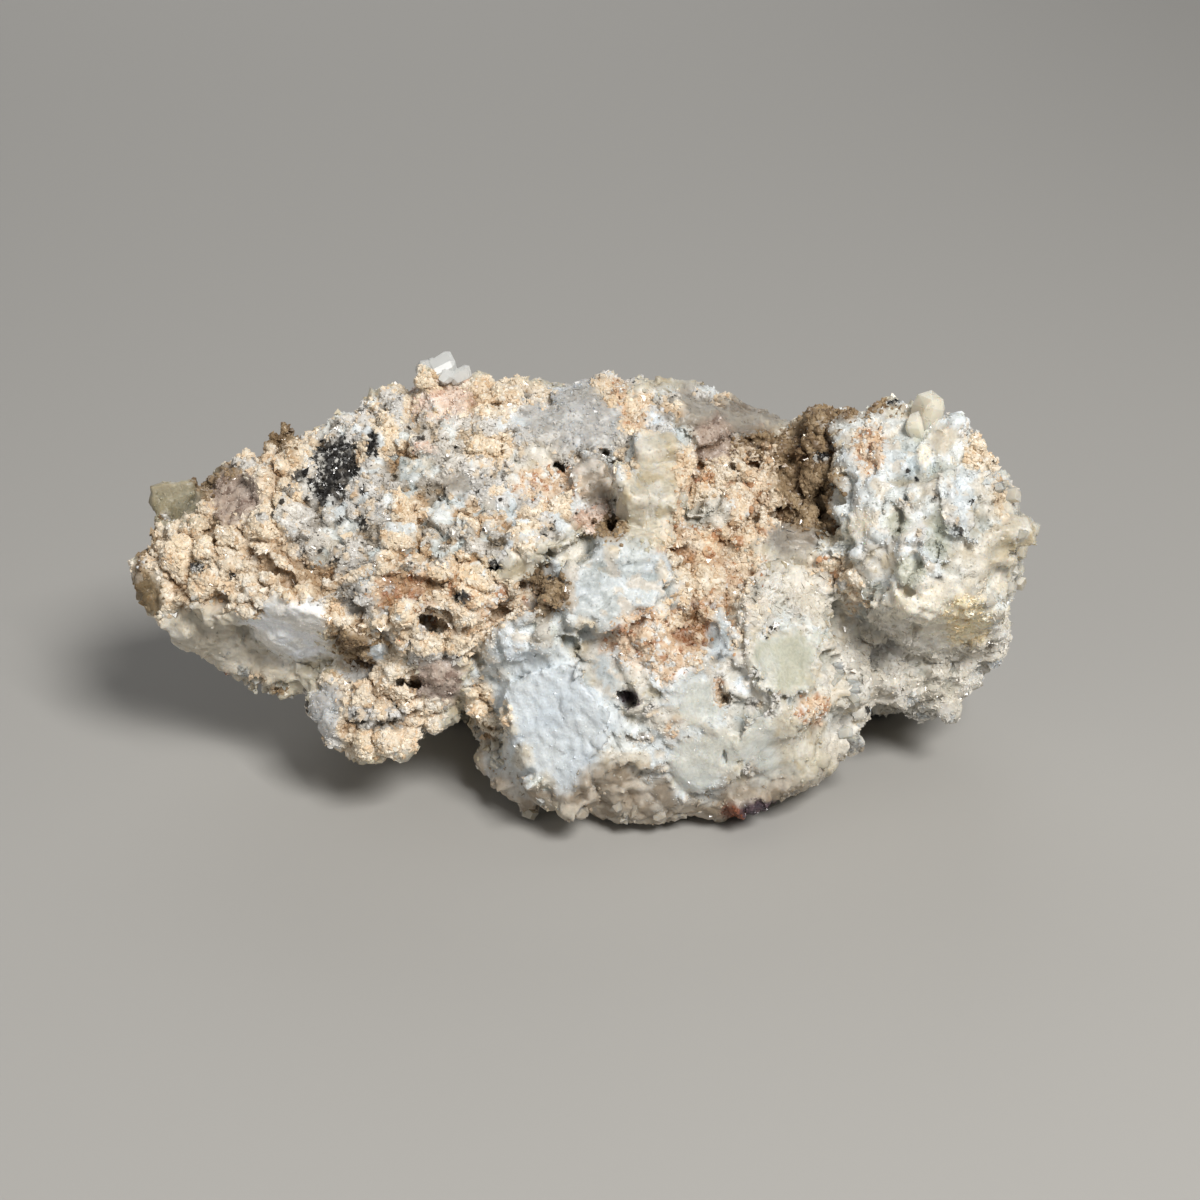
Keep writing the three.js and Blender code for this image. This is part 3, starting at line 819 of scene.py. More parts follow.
# Patches of minerals on the front: mineral, then a pixel, a half-width and a half-height for each patch.
# Later patches cover earlier ones.
PATCHES = {
    "left_tan": ["tan", ((235, 560), (130, 80)), ((290, 470), (65, 55))],
    "upper_slope": ["pepper", ((440, 475), (140, 95))],
    "ridge_crest": ["tan", ((420, 385), (110, 22))],
    "lower_tan": ["tan", ((430, 610), (115, 55)), ((375, 715), (76, 56))],
    "plate_bed": ["white", ((640, 680), (160, 130))],
    "centre_bed": ["pepper", ((600, 450), (100, 80))],
    "valley_bed": ["orange", ((740, 490), (75, 60))],
    "knob_face": ["sugar", ((925, 515), (125, 145))],
    "skirt_face": ["glaze", ((935, 670), (90, 66))],
    "foot_band": ["wax", ((690, 800), (190, 36))],
    "left_edge": ["brown", ((140, 545), (12, 36))],
    "left_pane": ["pane", ((168, 496), (32, 24))],
    "left_recess": ["brown", ((214, 478), (24, 14))],
    "left_mauve": ["mauve", ((234, 499), (27, 23))],
    "left_speckled": ["pepper", ((352, 528), (68, 44))],
    "left_black": ["black", ((330, 466), (20, 26)), ((328, 494), (18, 14)), ((338, 446), (13, 9)),
        ((371, 447), (7, 15))],
    "grey_crumb": ["grey", ((378, 513), (5, 8))],
    # Two of these dots, at (198, 566) and (231, 577), lie on the left gaps' holes and make them black.
    "black_dots": ["black", ((353, 470), (7, 6)), ((362, 491), (4, 5)), ((386, 468), (5, 6)),
        ((360, 521), (6, 5)), ((341, 520), (4, 3)), ((300, 478), (7, 9)), ((198, 566), (8, 6)),
        ((231, 577), (5, 4))],
    "slope_peach": ["peach", ((447, 396), (32, 14)), ((421, 448), (13, 11))],
    "slope_white": ["pepper", ((412, 470), (34, 28))],
    "slope_tan": ["tan", ((515, 390), (34, 22)), ((492, 440), (26, 16))],
    "white_crumbs": ["white", ((528, 462), (28, 20))],
    "grey_pebble": ["smoke", ((457, 485), (13, 16))],
    "middle_white": ["pepper", ((470, 535), (55, 35))],
    "tan_ledge": ["tan", ((330, 597), (120, 18))],
    "bed_orange": ["orange", ((430, 583), (60, 24)), ((478, 605), (55, 36))],
    "bed_white": ["pepper", ((402, 626), (24, 22))],
    "bed_brown": ["brown", ((358, 650), (26, 18))],
    "mauve_knob": ["mauve", ((443, 680), (28, 21))],
    "blue_crumb": ["frost", ((378, 652), (9, 9))],
    "lower_grey": ["grey", ((324, 712), (16, 26))],
    "belly": ["ice", ((215, 634), (76, 30)), ((252, 668), (50, 28))],
    # The fan-shaped plate takes a mineral lightened with painted light to make up for its shade.
    "bluish_plate": ["fan", ((290, 634), (48, 32))],
    "ledge_over_plate": ["tan", ((316, 602), (42, 15))],
    "lilac_patch": ["grey", ((585, 415), (58, 36))],
    "crest_orange": ["orange", ((612, 390), (18, 13)), ((640, 412), (14, 24))],
    "snow_specks": ["pepper", ((678, 408), (25, 24))],
    "snow_streak": ["white", ((678, 438), (17, 13))],
    "ridge_grey": ["smoke", ((735, 406), (60, 34))],
    "ridge_snow": ["pepper", ((715, 395), (24, 9))],
    "ridge_pale": ["smoke", ((762, 412), (18, 12))],
    "beige_chunk": ["wax", ((590, 479), (24, 25))],
    "honey_blocks": ["honey", ((656, 454), (23, 23)), ((652, 500), (40, 32))],
    "mauve_face": ["mauve", ((711, 441), (16, 22))],
    "centre_orange": ["rust", ((545, 485), (30, 18))],
    "centre_peach": ["peach", ((598, 520), (24, 16))],
    "dark_recess": ["brown", ((612, 526), (17, 14))],
    "centre_white": ["pepper", ((535, 520), (38, 26))],
    # The valley's brown stands partly for the shade that the knob casts there.
    "valley_brown": ["brown", ((757, 448), (36, 13)), ((803, 478), (32, 52)), ((822, 412), (30, 17)),
        ((872, 397), (38, 12))],
    "valley_granular": ["smoke", ((792, 540), (28, 17))],
    "pink_crystal": ["cream", ((710, 514), (24, 17))],
    "orange_bed": ["orange", ((702, 590), (72, 66)), ((840, 585), (26, 32))],
    "spikes": ["wax", ((515, 778), (44, 50))],
    "snowy_sheet": ["snow", ((606, 585), (64, 50))],
    "sheet_shoulder": ["brown", ((546, 590), (13, 30))],
    "sheet_edge": ["crust", ((574, 552), (16, 12))],
    "cream_crust": ["sugar", ((540, 648), (48, 34))],
    "left_plate": ["frost", ((552, 728), (58, 68))],
    "plate_rim": ["crust", ((504, 726), (8, 16)), ((522, 756), (11, 13)), ((544, 784), (13, 12))],
    "heel_tan": ["tan", ((484, 712), (16, 26))],
    "plate_patch": ["snow", ((602, 664), (26, 30))],
    "rust_band": ["rust", ((655, 645), (40, 26))],
    "low_white": ["white", ((640, 742), (40, 36))],
    "orange_bits": ["rust", ((677, 725), (16, 10))],
    "right_panel": ["glaze", ((795, 604), (48, 38))],
    "white_rib": ["snow", ((775, 632), (30, 14)), ((722, 632), (16, 34))],
    "window_rims": ["white", ((786, 664), (46, 46)), ((699, 694), (36, 36)), ((708, 752), (46, 40))],
    "pale_window": ["yellow", ((790, 660), (34, 31))],
    "milky_windows": ["milk", ((696, 694), (24, 25)), ((706, 754), (34, 29)), ((762, 740), (27, 32))],
    "right_low": ["cream", ((852, 700), (38, 62))],
    "stain": ["rust", ((813, 706), (14, 18))],
    "sparkly_stain": ["honey", ((792, 736), (13, 30))],
    "panel_tan": ["cream", ((840, 628), (9, 28))],
    "rusty_foot": ["iron", ((737, 812), (12, 14))],
    "purple_foot": ["plum", ((759, 808), (15, 13))],
    "knob_white": ["white", ((957, 506), (34, 32)), ((905, 560), (44, 30)), ((880, 500), (30, 30)),
        ((955, 428), (26, 18))],
    "knob_clear": ["crust", ((972, 575), (32, 36))],
    "knob_clear_top": ["ice", ((938, 440), (12, 14))],
    "knob_cream": ["pearl", ((930, 622), (62, 28))],
    "knob_pink": ["rust", ((872, 448), (15, 26))],
    "knob_tan": ["tan", ((980, 455), (22, 22)), ((1003, 500), (14, 22))],
    "knob_green": ["green", ((897, 523), (11, 14)), ((932, 540), (11, 26)), ((908, 574), (14, 16))],
    "knob_pearl": ["pearl", ((923, 455), (8, 9)), ((860, 525), (10, 16))],
    "knob_rim": ["honey", ((1020, 545), (24, 75))],
    "yellow_patch": ["butter", ((967, 626), (24, 26))],
    "neck": ["glaze", ((880, 652), (34, 38))],
    "knob_block": ["pearl", ((927, 406), (14, 20))],
    "amber_edge": ["amber", ((144, 594), (18, 22))],
    "brown_outline": ["brown", ((284, 436), (24, 17))],
    "recess_stain": ["orange", ((721, 690), (8, 14))],
    "rust_dot": ["iron", ((226, 676), (5, 4))],
    "orange_dot": ["orange", ((258, 680), (8, 5))],
    "brown_dot": ["brown", ((278, 690), (9, 5))],
    # The hexagonal hole is painted dark plum as well as cut deep: painted shade.
    "hexagon": ["plum", ((627, 698), (10, 8))],
    "panel_crumb": ["pepper", ((843, 585), (5, 5))],
    # Two of the specks, at (463, 598) and (497, 566), lie on the arch's small hole and a centre gap and make
    # them black.
    "specks": ["black", ((917, 480), (2, 2)), ((908, 471), (2, 2)), ((933, 498), (2, 2)),
        ((972, 501), (2, 2)), ((960, 532), (2, 2)), ((938, 578), (3, 2)), ((868, 712), (4, 4)),
        ((866, 735), (4, 4)), ((820, 458), (9, 6)), ((463, 598), (10, 6)), ((497, 566), (7, 6)),
        ((893, 401), (8, 3))],
}


class FrontMap:
    """How deep the surface lies behind each pixel. Only what shows from the front takes its patches."""

    # Pixels from one ray to the next
    STEP = 6

    def __init__(self, field):
        marks = np.arange(0, PHOTO_SIZE + 1, self.STEP, dtype=float)
        columns, rows = np.meshgrid(marks, marks, indexing="ij")
        hits = field.hits(np.stack([columns.ravel(), rows.ravel()], axis=1))
        self.depths = to_photo(hits)[2].reshape(columns.shape)

    def depths_round(self, columns, rows, reach):
        """The depths at pixels, and that many steps to their sides."""
        last = len(self.depths) - 1
        for aside, down in product((-reach, 0, reach), repeat=2):
            i = np.clip(np.rint(columns / self.STEP).astype(int) + aside, 0, last)
            j = np.clip(np.rint(rows / self.STEP).astype(int) + down, 0, last)
            yield self.depths[i, j]

    def behind(self, points):
        """How far points lie behind the surface that the camera sees there."""
        columns, rows, depth = to_photo(points)
        nearest = np.full(len(points), np.inf)
        for there in self.depths_round(columns, rows, 1):
            nearest = np.minimum(nearest, np.abs(depth - there))
        return nearest

    def covers(self, points):
        """Whether the surface that the camera sees hides points, and what is near them, from it."""
        columns, rows, depth = to_photo(points)
        hidden = np.ones(len(points), bool)
        for there in self.depths_round(columns, rows, 3):
            hidden &= there < depth
        return hidden


# Minerals with others strewn in them: mineral, the other, width of the strewn spots in millimetres, and the
# level above which noise from -1 to 1 makes a spot
MIXES = (
    ("pepper", "tan", 3.6, 0.14),
    ("pepper", "white", 1.5, 0.30),
    ("tan", "pepper", 4.0, 0.42),
    ("orange", "tan", 3.0, 0.18),
    ("orange", "rust", 2.0, 0.42),
    ("white", "cream", 3.2, 0.12),
    ("white", "pepper", 2.0, 0.45),
    ("sugar", "cream", 2.6, 0.16),
    ("sugar", "white", 3.8, 0.14),
    ("snow", "cream", 3.0, 0.34),
    ("crust", "sugar", 3.0, 0.34),
)


# How far the patches' borders wander, in pixels, for each width of noise in millimetres. Patches of less than
# the full half-width wander less.
BORDER_WANDER = {6.0: 14, 2.4: 10, 0.9: 5}
FULL_WANDER_HALF = 40


def patch_areas():
    """Each patch's mineral, pixel, half-width and half-height."""
    for mineral, *areas in PATCHES.values():
        for pixel, half in areas:
            yield mineral, pixel, half


def minerals_at(points, front, jitters):
    """The mineral at each point, as an index into the list of names, for each way of moving the pixels."""
    columns, rows, _ = to_photo(points)
    aside = np.zeros(len(points))
    down = np.zeros(len(points))
    for number, (size, amount) in enumerate(BORDER_WANDER.items()):
        aside += amount * noise(points, size, CHANNEL["border_aside"] + number)
        down += amount * noise(points, size, CHANNEL["border_down"] + number)
    shown = front.behind(points) < FRONT_REACH
    strewn = []
    for number, (_, _, size, level) in enumerate(MIXES):
        strewn.append(noise(points, size, CHANNEL["strewn"] + number) > level)
    lists = []
    for jitter in jitters:
        move = np.broadcast_to(jitter, (len(points), 2))
        found = np.full(len(points), HIDDEN_MINERAL)
        for mineral, pixel, half in patch_areas():
            sway = min(1, max(half) / FULL_WANDER_HALF)
            across = (columns + sway * (aside + move[:, 0]) - pixel[0]) / half[0]
            along = (rows + sway * (down + move[:, 1]) - pixel[1]) / half[1]
            found[shown & (across * across + along * along < 1)] = MINERAL_NAMES.index(mineral)
        plain = found.copy()
        for (mineral, other, _, _), spots in zip(MIXES, strewn):
            found[spots & (plain == MINERAL_NAMES.index(mineral))] = MINERAL_NAMES.index(other)
        lists.append(found)
    return lists


def mineral_values(found, key):
    """One of the values of each point's mineral."""
    return np.array([MINERALS[name][key] for name in MINERAL_NAMES])[found]


# Colours

def to_linear(colour):
    """Scene-linear values of an sRGB colour from 0 to 255."""
    part = np.array(colour) / 255
    return np.where(part <= 0.04045, part / 12.92, ((part + 0.055) / 1.055) ** 2.4)


def pick_colours(found, lots):
    """A colour for each point from its mineral's palette, by a random number from 0 to 1."""
    colours = np.zeros((len(found), 3))
    for index, name in enumerate(MINERAL_NAMES):
        palette = MINERALS[name]["colours"]
        ends = np.cumsum([share for share, _ in palette])
        choice = np.minimum(np.searchsorted(ends / ends[-1], lots), len(palette) - 1)
        tones = np.array([to_linear(colour) for _, colour in palette])
        colours = np.where((found == index)[:, None], tones[choice], colours)
    return colours


def spot_lots(points, found):
    """A number from 0 to 1 for each point, the same all over a spot of colour."""
    warped = wander(points, 1.1, 0.4, CHANNEL["spot_edge"])
    spot = mineral_values(found, "spot")
    lots = np.zeros(len(points))
    for size in np.unique(spot):
        here = spot == size
        lots[here] = scatter(warped[here], size, CHANNEL["spot"])[2]
    return lots


# Depths at which a hollow's tint, its painted shade and stain, starts and is full, and the colour that tints
# are compared with
HOLLOW_SHADE_AND_STAIN_DEPTHS = (0.2, 1.6)
PLAIN_COLOUR = (225, 220, 210)
# Lighter and darker stains, as widths and amounts, and warmer and cooler ones, as a width and linear RGB
STAINS = {7.0: 0.09, 2.6: 0.08, 0.7: 0.05}
WARMTH_SIZE = 4.5
WARMTH = np.array([0.02, -0.01, -0.06])


def stained_and_hollow_shaded(colours, points, found, height):
    """Colours with broad stains, and painted shade and stain in hollows below the field's surface."""
    # The deeper a point lies below the field's surface, the more painted shade and stain its hollow tint
    # gives it.
    hollow = smooth(-height, *HOLLOW_SHADE_AND_STAIN_DEPTHS)[:, None]
    # The hollow tint against the plain colour: painted shade, and in the brown tints partly stain too.
    stain = to_linear(mineral_values(found, "hollow")) / to_linear(PLAIN_COLOUR)
    light = np.ones(len(points))
    for number, (size, amount) in enumerate(STAINS.items()):
        light = light + amount * noise(points, size, CHANNEL["stain"] + number)
    warm = noise(points, WARMTH_SIZE, CHANNEL["warmth"])[:, None] * WARMTH
    return colours * (1 - hollow * (1 - stain)) * light[:, None] * (1 + warm)


# Relief

# Clumps and knobs: width, height of a crown, depth and width of the seams, as shares of the width
CLUMPS = (4.2, 0.6, 0.5, 0.10)
KNOBS = (1.7, 0.5, 0.4, 0.12)
FACE_SIZE = 5.0
SMALL_FACE_SIZE = 1.6
SMALL_FACE_SHARE = 0.5
GRIT_SIZE = 0.7
PIT_SIZE = 2.6
PIT_LEVELS = (0.35, 0.7)
STEP_SIZE = 6.5
STEP_RISE = 1.7
FINE_STEP_RISE = 0.3
STEP_EDGE = (0.42, 0.58)


def cushions(points, size, crown, seam, seam_width, channel):
    """Heights of rounded lumps with seams between them."""
    near, second, _ = scatter(points, size, channel)
    return crown - near - seam * np.exp(-(((second - near) / seam_width) ** 2))


def relief(points, lists):
    """How far each point's minerals move the surface by clumps, steps, knobs, faces, grit and pits."""
    warped = wander(points, 1.7, 0.5, CHANNEL["relief"])
    clumps = cushions(warped, *CLUMPS, CHANNEL["clump"])
    knobs = cushions(warped, *KNOBS, CHANNEL["knob"])
    slight = wander(points, 1.2, 0.18, CHANNEL["slight_relief"])
    faces = FACE_SIZE * facets(slight, FACE_SIZE, CHANNEL["face"])
    faces += SMALL_FACE_SHARE * SMALL_FACE_SIZE * facets(slight, SMALL_FACE_SIZE, CHANNEL["small_face"])
    grit = noise(points, GRIT_SIZE, CHANNEL["grit"])
    pits = smooth(noise(points, PIT_SIZE, CHANNEL["pit"]), *PIT_LEVELS)
    layers = STEP_RISE * noise(warped, STEP_SIZE, CHANNEL["step"])
    layers = layers + FINE_STEP_RISE * noise(warped, STEP_SIZE / 3, CHANNEL["fine_step"])
    steps = np.floor(layers) + smooth(layers - np.floor(layers), *STEP_EDGE)
    shapes = {"clump": 2 * clumps, "step": steps, "knob": knobs, "face": faces, "grit": grit, "pit": -pits}
    total = np.zeros(len(points))
    for key, shape in shapes.items():
        total += np.mean([mineral_values(found, key) for found in lists], axis=0) * shape
    return total


# Meshes

def set_tint(mesh, colours, clear):
    """Stores a colour at each point, with how clear the mineral is there as its alpha."""
    tint = mesh.color_attributes.new("tint", "FLOAT_COLOR", "POINT")
    clear = np.broadcast_to(clear, len(colours))
    tint.data.foreach_set("color", np.column_stack([colours, clear]).astype(np.float32).ravel())


def new_object(name, points, faces, colours, material, slot, clear=0.25):
    """A mesh object that rides on the specimen's body, with a colour at each point."""
    mesh = bpy.data.meshes.new(name)
    mesh.from_pydata(points * MM, [], faces)
    if colours is not None:
        set_tint(mesh, colours, clear)
    mesh.materials.append(material)
    piece = bpy.data.objects.new(name, mesh)
    bpy.context.scene.collection.objects.link(piece)
    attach(piece, BODY)
    return piece


def joined(shapes):
    """One array of points, one of faces and one of colours from many (points, faces, colours)."""
    starts = np.cumsum([0] + [len(points) for points, _, _ in shapes[:-1]])
    faces = [faces + start for (_, faces, _), start in zip(shapes, starts)]
    return (
        np.concatenate([points for points, _, _ in shapes]),
        np.concatenate(faces),
        np.concatenate([colours for _, _, colours in shapes]),
    )


def surface_quads(field):
    """Points and four-sided faces of the field's surface, always in the same order."""
    grid = openvdb.FloatGrid(BAND_VOXELS * VOXEL)
    grid.transform = openvdb.createLinearTransform(voxelSize=VOXEL)
    grid.copyFromArray(field.values, ijk=tuple(int(c) for c in field.corner))
    points, quads = grid.convertToQuads(0.0)
    points = points.astype(np.float64)
    order = np.lexsort(np.round(points, 4).T)
    place = np.empty(len(order), np.int64)
    place[order] = np.arange(len(order))
    quads = place[quads.astype(np.int64)]
    first = quads.argmin(axis=1)
    quads = quads[np.arange(len(quads))[:, None], (first[:, None] + np.arange(4)) % 4]
    quads = quads[np.lexsort(quads.T)]
    return points[order], quads


def face_normals(points, faces):
    return np.cross(points[faces[:, 1]] - points[faces[:, 0]], points[faces[:, 2]] - points[faces[:, 0]])


def face_out(points, quads):
    """The faces turned so that they point out of the body."""
    across = points[quads[:, 2]] - points[quads[:, 0]]
    normals = np.cross(across, points[quads[:, 3]] - points[quads[:, 1]])
    volume = np.einsum("ij,ij->", points[quads].mean(axis=1), normals)
    return quads if volume > 0 else quads[:, ::-1]


def thinned(piece, ratio, coarse):
    """Gives the piece a mesh with fewer triangles, most of them taken from the points marked as coarse."""
    group = piece.vertex_groups.new(name="coarse")
    for level in np.unique(coarse):
        group.add(np.nonzero(coarse == level)[0].tolist(), float(level), "REPLACE")
    piece.modifiers.new("triangles", "TRIANGULATE")
    thin = piece.modifiers.new("thin", "DECIMATE")
    thin.ratio = ratio
    thin.vertex_group = group.name
    made = bpy.data.meshes.new_from_object(piece.evaluated_get(bpy.context.evaluated_depsgraph_get()))
    piece.modifiers.clear()
    piece.vertex_groups.clear()
    piece.data = made


# Moves in pixels whose shapes and whose colours are mixed, so that the minerals' borders are soft
SOFT_SHAPE_PX = 4 * np.array([(0, 0), (1, 0.5), (-1, -0.5), (0.5, -1), (-0.5, 1)])
SOFT_COLOUR_PX = 2 * SOFT_SHAPE_PX
# How coarse the front's mesh may get, where the hidden side's is 1
FRONT_COARSE = 0.15


def make_mass(field, front, material):
    """The specimen's mass, with every bump down to half a millimetre."""
    points, quads = surface_quads(field)
    quads = face_out(points, quads)
    lists = minerals_at(points, front, SOFT_SHAPE_PX)
    points = points + relief(points, lists)[:, None] * field.normals(points)
    points[:, 2] = np.maximum(points[:, 2], 0)
    piece = new_object("crystal_mass", points, quads, None, material, "druse")
    hidden = (front.behind(points) > FRONT_REACH).astype(float)
    thinned(piece, MASS_TRIANGLES / (2 * len(quads)), FRONT_COARSE + (1 - FRONT_COARSE) * hidden)
    points, triangles = mesh_arrays(piece.data)
    points = points.astype(np.float64) / MM
    height = field.sample(points)
    lists = minerals_at(points, front, SOFT_COLOUR_PX)
    layers = []
    for found in lists:
        colours = pick_colours(found, spot_lots(points, found))
        layers.append(stained_and_hollow_shaded(colours, points, found, height))
    clear = np.mean([mineral_values(found, "clear") for found in lists], axis=0)
    set_tint(piece.data, np.mean(layers, axis=0), clear)
    piece.data.shade_smooth()
    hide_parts(NODE)
    return points, triangles, lists[0]


# Grains

def random_turns(count, rng):
    """Random rotation matrices."""
    q = rng.normal(size=(count, 4))
    q /= np.linalg.norm(q, axis=1, keepdims=True)
    w, x, y, z = q.T
    return np.stack([
        np.stack([1 - 2 * (y * y + z * z), 2 * (x * y - w * z), 2 * (x * z + w * y)], axis=1),
        np.stack([2 * (x * y + w * z), 1 - 2 * (x * x + z * z), 2 * (y * z - w * x)], axis=1),
        np.stack([2 * (x * z - w * y), 2 * (y * z + w * x), 1 - 2 * (x * x + y * y)], axis=1),
    ], axis=1)


def arrays_of(shape):
    """Points and triangles of a bmesh, which is then freed."""
    points = np.array([v.co for v in shape.verts])
    triangles = np.array([[v.index for v in f.verts] for f in shape.faces])
    shape.free()
    return points, triangles


def bead_mesh():
    """Points and triangles of a twenty-sided bead, one unit wide."""
    shape = bmesh.new()
    bmesh.ops.create_icosphere(shape, subdivisions=1, radius=0.5)
    return arrays_of(shape)


BEAD, BEAD_TRIANGLES = bead_mesh()
BEAD_STRETCH = (0.78, 1.22)
BEAD_DENTS = (0.8, 1.2)
BEAD_SINK = 0.12
# The three faces and the foot of a block's corner that sticks out
CORNER_TRIANGLES = np.array([(0, 1, 2), (0, 2, 3), (0, 3, 1), (3, 2, 1)])
CORNER_LEAN = 0.5
CORNER_TWIST = 0.3
CORNER_REACH = (0.6, 0.9)
CORNER_TIP = (0.2, 0.45)
CORNER_SINK = 0.4


def ring(angles, first, second):
    """Directions at angles round an axis, from two directions across it."""
    return np.cos(angles)[..., None] * first[:, None] + np.sin(angles)[..., None] * second[:, None]


def repeated(triangles, points_each, count):
    """The triangles of many copies of a shape."""
    return (triangles[None] + points_each * np.arange(count)[:, None, None]).reshape(-1, 3)


def bead_grains(centres, outward, widths, rng):
    """Worn, rounded grains, half sunk into the surface."""
    count = len(centres)
    corners = BEAD[None] * rng.uniform(*BEAD_STRETCH, (count, 1, 3))
    corners = corners * rng.uniform(*BEAD_DENTS, (count, len(BEAD), 1))
    corners = np.einsum("nij,nkj->nki", random_turns(count, rng), corners)
    seats = centres - BEAD_SINK * widths[:, None] * outward
    points = seats[:, None] + widths[:, None, None] * corners
    return points.reshape(-1, 3), repeated(BEAD_TRIANGLES, len(BEAD), count)


def corner_grains(centres, outward, widths, rng):
    """Corners of little blocks that stick out of the surface."""
    count = len(centres)
    lean = unit(outward + CORNER_LEAN * rng.normal(size=(count, 3)))
    first, second = side_axes(lean)
    angles = rng.uniform(0, 2 * math.pi, (count, 1)) + np.arange(3) * 2 * math.pi / 3
    angles = angles + rng.uniform(-CORNER_TWIST, CORNER_TWIST, (count, 3))
    reach = rng.uniform(*CORNER_REACH, (count, 3))
    foot = ring(angles, first, second) * reach[..., None] - CORNER_SINK * lean[:, None]
    tip = rng.uniform(*CORNER_TIP, (count, 1)) * lean
    points = np.concatenate([tip[:, None], foot], axis=1) * widths[:, None, None] + centres[:, None]
    return points.reshape(-1, 3), repeated(CORNER_TRIANGLES, 4, count)


def spread(points, triangles, density, rng):
    """Random places on triangles, and the outward direction at each."""
    normals = face_normals(points, triangles)
    areas = 0.5 * np.linalg.norm(normals, axis=1)
    owner = np.repeat(np.arange(len(triangles)), rng.poisson(areas * density))
    u, v = rng.random((2, len(owner)))
    u, v = np.where(u + v > 1, 1 - u, u), np.where(u + v > 1, 1 - v, v)
    a, b, c = (points[triangles[owner, k]] for k in range(3))
    return a + u[:, None] * (b - a) + v[:, None] * (c - a), unit(normals[owner])


GRAIN_JITTER_PX = 4
GRAIN_SHADES = (0.95, 1.05)
# The higher it is, the more of the grains are small
SMALL_BIAS = 1.6
# The share of grains that take their colour from the spot they lie in
SPOT_SHARE = 0.7
DARK = MINERAL_NAMES.index("black")
FROSTY_NAMES = ("white", "cream", "sugar", "frost", "glaze", "snow", "crust", "fan", "pearl")
FROSTY = [MINERAL_NAMES.index(name) for name in FROSTY_NAMES]


def make_grains(points, triangles, found, field, front, druse, sparkle, dark):
    """Grains scattered over the mass: worn beads, and corners that sparkle."""
    rng = np.random.default_rng(SEED)
    density = mineral_values(found[triangles[:, 0]], "grains")
    centres, outward = spread(points, triangles, density, rng)
    count = len(centres)
    kind = minerals_at(centres, front, [GRAIN_JITTER_PX * rng.normal(size=(count, 2))])[0]
    small, large = mineral_values(kind, "sizes").T
    widths = small + (large - small) * rng.random(count) ** SMALL_BIAS
    lots = np.where(rng.random(count) < SPOT_SHARE, spot_lots(centres, kind), rng.random(count))
    colours = pick_colours(kind, lots) * rng.uniform(*GRAIN_SHADES, (count, 1))
    # Grains in hollows take the painted shade and stain as well.
    colours = stained_and_hollow_shaded(colours, centres, kind, field.sample(centres))
    clear = mineral_values(kind, "clear")
    above_table = centres[:, 2] > widths
    bead = rng.random(count) < mineral_values(kind, "bead")
    frosty = np.isin(kind, FROSTY)
    for name, chosen, bead_material, corner_material, slot in (
        ("druse", (kind != DARK) & ~frosty, druse, sparkle, "druse"),
        ("frost", frosty, druse, sparkle, "frost"),
        ("dark", kind == DARK, dark, dark, "dark_mineral"),
    ):
        chosen = chosen & above_table
        for ending, picked, shape, material in (
            ("beads", chosen & bead, bead_grains, bead_material),
            ("corners", chosen & ~bead, corner_grains, corner_material),
        ):
            make_grain_pieces(
                f"{name}_{ending}", np.nonzero(picked)[0], shape, centres, outward, widths, colours, clear,
                rng, material, slot)


def make_grain_pieces(name, picked, shape, centres, outward, widths, colours, clear, rng, material, slot):
    """Joined meshes of grains, each under the triangle limit."""
    each = len(BEAD_TRIANGLES) if shape is bead_grains else len(CORNER_TRIANGLES)
    most = PIECE_TRIANGLES // each
    for number, start in enumerate(range(0, len(picked), most)):
        some = picked[start:start + most]
        corners, faces = shape(centres[some], outward[some], widths[some], rng)
        points_each = len(corners) // len(some)
        tints = np.repeat(colours[some], points_each, axis=0)
        new_object(f"{name}_{number + 1}", corners, faces, tints, material, slot,
                   np.repeat(clear[some], points_each))


# Larger crystals

PRISM_SIDES = 6
PRISM_TIP = 2 * PRISM_SIDES


def prism_triangles():
    """Triangles of a six-sided crystal: foot ring, shoulder ring, tip."""
    triangles = []
    for k in range(PRISM_SIDES):
        after = (k + 1) % PRISM_SIDES
        triangles += [(k, after, PRISM_SIDES + after), (k, PRISM_SIDES + after, PRISM_SIDES + k)]
        triangles.append((PRISM_SIDES + k, PRISM_SIDES + after, PRISM_TIP))
    triangles += [(0, k + 1, k) for k in range(1, PRISM_SIDES - 1)]
    return np.array(triangles)


PRISM_TRIANGLES = prism_triangles()
PRISM_TWIST = 0.15
PRISM_REACH = (0.8, 1.15)
# How wide a prism's foot and shoulder are, where its widest is 1
FOOT_SHARE = 0.9
SHOULDER_SHARE = (0.85, 1.05)
# Heights of a prism's low and high shoulders as shares of its length, and how much they and the tip vary
SHOULDERS = (0.66, 0.92)
SHOULDER_JITTER = 0.06
TIP_JITTER = 0.12


def prisms(places, directions, widths, lengths, rng):
    """Six-sided crystals with three-faced tips. Each one's foot is at its place."""
    count = len(places)
    directions = unit(directions)
    first, second = side_axes(directions)
    angles = rng.uniform(0, 2 * math.pi, (count, 1)) + np.arange(PRISM_SIDES) * math.pi / 3
    angles = angles + rng.uniform(-PRISM_TWIST, PRISM_TWIST, (count, PRISM_SIDES))
    across = ring(angles, first, second)
    across = across * rng.uniform(*PRISM_REACH, (count, PRISM_SIDES, 1)) * widths[:, None, None] / 2
    high = np.where(np.arange(PRISM_SIDES) % 2 == 0, *SHOULDERS)
    high = high + rng.uniform(-SHOULDER_JITTER, SHOULDER_JITTER, (count, PRISM_SIDES))
    along = directions[:, None] * lengths[:, None, None]
    foot = FOOT_SHARE * across
    shoulder = across * rng.uniform(*SHOULDER_SHARE, (count, 1, 1)) + high[..., None] * along
    tip = along + TIP_JITTER * widths[:, None, None] * rng.normal(size=(count, 1, 3))
    points = np.concatenate([foot, shoulder, tip], axis=1) + places[:, None]
    return points.reshape(-1, 3), repeated(PRISM_TRIANGLES, PRISM_TIP + 1, count)


